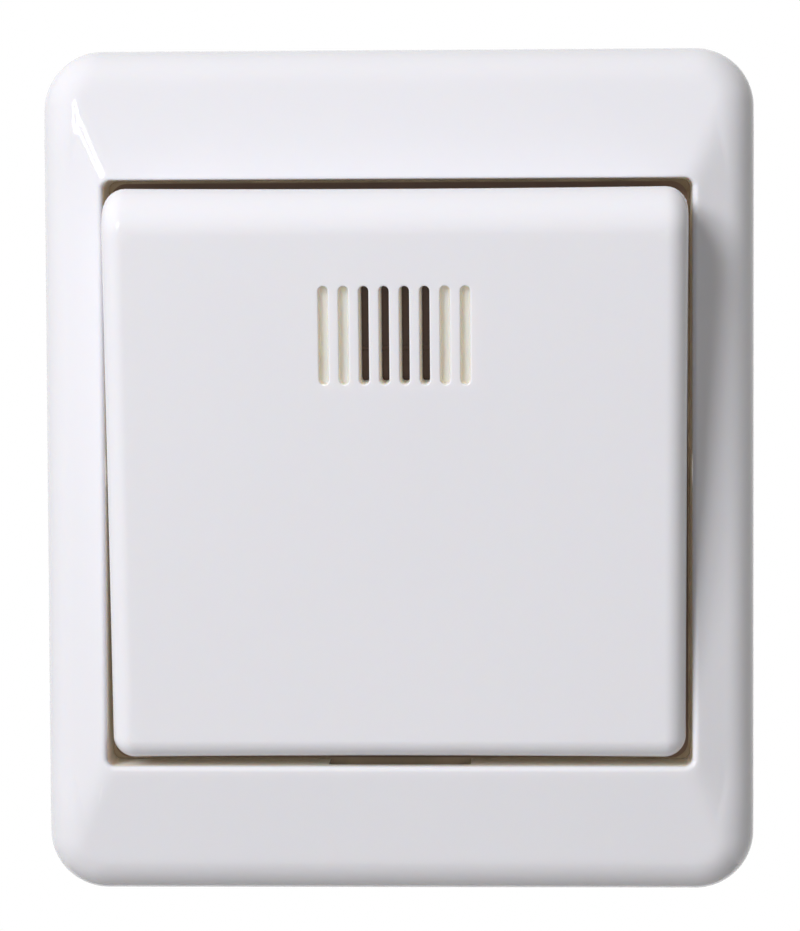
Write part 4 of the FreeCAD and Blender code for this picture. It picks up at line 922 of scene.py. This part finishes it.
def makeSurroundings(look):
    world = bpy.data.worlds.new("surroundings")
    bpy.context.scene.world = world
    world.use_nodes = True
    graph = Graph(world.node_tree)
    place = graph.node("ShaderNodeTexCoord")
    parts = graph.node("ShaderNodeSeparateXYZ")
    graph.link(place.outputs["Generated"], parts.inputs[0])
    # Both run from -1 to 1: Y towards what is behind the object, Z from straight below to above
    ahead, upward = parts.outputs["Y"], parts.outputs["Z"]
    level = graph.spread(ahead, look["front"], look["behind"], look["frontFrom"], look["behindFrom"])
    level = graph.math("MULTIPLY", level, graph.spread(upward, look["below"], look["above"], -1.0, 1.0))
    # The background itself is plain white, also in reflections and through glass
    seen = graph.node("ShaderNodeLightPath")
    plain = graph.math("MAXIMUM", seen.outputs["Is Camera Ray"], seen.outputs["Is Glossy Ray"])
    plain = graph.math("MAXIMUM", plain, seen.outputs["Is Transmission Ray"])
    # The number sockets of this node are inputs 2 and 3
    strength = graph.node("ShaderNodeMix", data_type="FLOAT")
    graph.link(plain, strength.inputs[0])
    graph.link(level, strength.inputs[2])
    strength.inputs[3].default_value = 1.0
    background = graph.node("ShaderNodeBackground")
    graph.link(graph.mix(plain, look["shade"], color(1.0, 1.0, 1.0)), background.inputs["Color"])
    graph.link(strength.outputs[0], background.inputs["Strength"])
    output = graph.node("ShaderNodeOutputWorld")
    graph.link(background.outputs[0], output.inputs["Surface"])


# The large dish gives the shading and the small ring the bright reflections. Distances are in
# metres, angles say how wide a lamp looks, and hole is the share of its width that stays dark.
lamps = {
    "keyDish": {
        "direction": (-0.472, -0.741, 0.477), "distance": 1.25, "angle": 25.0, "hole": 0.3,
        "radiance": 19.5, "inGloss": False,
    },
    "ringLamp": {
        "direction": (-0.436, -0.85, 0.296), "distance": 1.25, "angle": 15.0, "hole": 0.34,
        "radiance": 7.0, "inGloss": True,
    },
}


def makeLamp(name, look):
    data = bpy.data.lights.new(name, "AREA")
    data.shape = "DISK"
    size = 2 * look["distance"] * math.tan(math.radians(look["angle"] / 2))
    data.size = size
    data.energy = look["radiance"] * math.pi * math.pi * (size / 2) ** 2
    data.use_nodes = True
    graph = Graph(data.node_tree)
    place = graph.node("ShaderNodeNewGeometry")
    fromMiddle = graph.node("ShaderNodeVectorMath", operation="DISTANCE")
    graph.link(place.outputs["Parametric"], fromMiddle.inputs[0])
    fromMiddle.inputs[1].default_value = (0.5, 0.5, 0.0)  # the middle of the disk
    lit = graph.math("GREATER_THAN", fromMiddle.outputs["Value"], look["hole"] / 2)
    glow = graph.node("ShaderNodeEmission")
    graph.link(lit, glow.inputs["Strength"])
    output = graph.node("ShaderNodeOutputLight")
    graph.link(glow.outputs[0], output.inputs["Surface"])
    light = bpy.data.objects.new(name, data)
    light.visible_glossy = look["inGloss"]
    direction = Vector(look["direction"]).normalized()
    light.location = direction * look["distance"]
    light.rotation_mode = "QUATERNION"
    light.rotation_quaternion = direction.to_track_quat("Z", "Y")
    bpy.context.scene.collection.objects.link(light)


# Fitted to the edges in the photo; place and clips in millimetres, turns in degrees
view = {
    "place": (16.4, -450.0, 24.48), "yaw": -2.093, "pitch": -3.044, "roll": -0.254,
    "focalPixels": 3724.0, "imageWidth": 800, "sensor": 36.0, "clipNear": 10.0, "clipFar": 20000.0,
}


def makeCamera(look):
    data = bpy.data.cameras.new("camera")
    data.sensor_fit = "HORIZONTAL"
    data.sensor_width = look["sensor"]
    data.lens = look["focalPixels"] * look["sensor"] / look["imageWidth"]
    data.clip_start, data.clip_end = look["clipNear"] * millimetre, look["clipFar"] * millimetre
    camera = bpy.data.objects.new("camera", data)
    yaw, pitch, roll = (math.radians(look[k]) for k in ("yaw", "pitch", "roll"))
    forward = Vector((math.sin(yaw) * math.cos(pitch), math.cos(yaw) * math.cos(pitch), math.sin(pitch)))
    right = forward.cross(Vector((0, 0, 1))).normalized()
    up = right.cross(forward)
    right, up = right * math.cos(roll) + up * math.sin(roll), up * math.cos(roll) - right * math.sin(roll)
    turn = Matrix((right, up, -forward)).transposed()
    camera.matrix_world = Matrix.Translation(Vector(look["place"]) * millimetre) @ turn.to_4x4()
    bpy.context.scene.collection.objects.link(camera)
    bpy.context.scene.camera = camera


makeFloor(floorLook)
makeSurroundings(surroundings)
for name, look in lamps.items():
    makeLamp(name, look)
makeCamera(view)
bpy.context.scene.view_settings.view_transform = "Standard"
print("stage, lights and camera made")
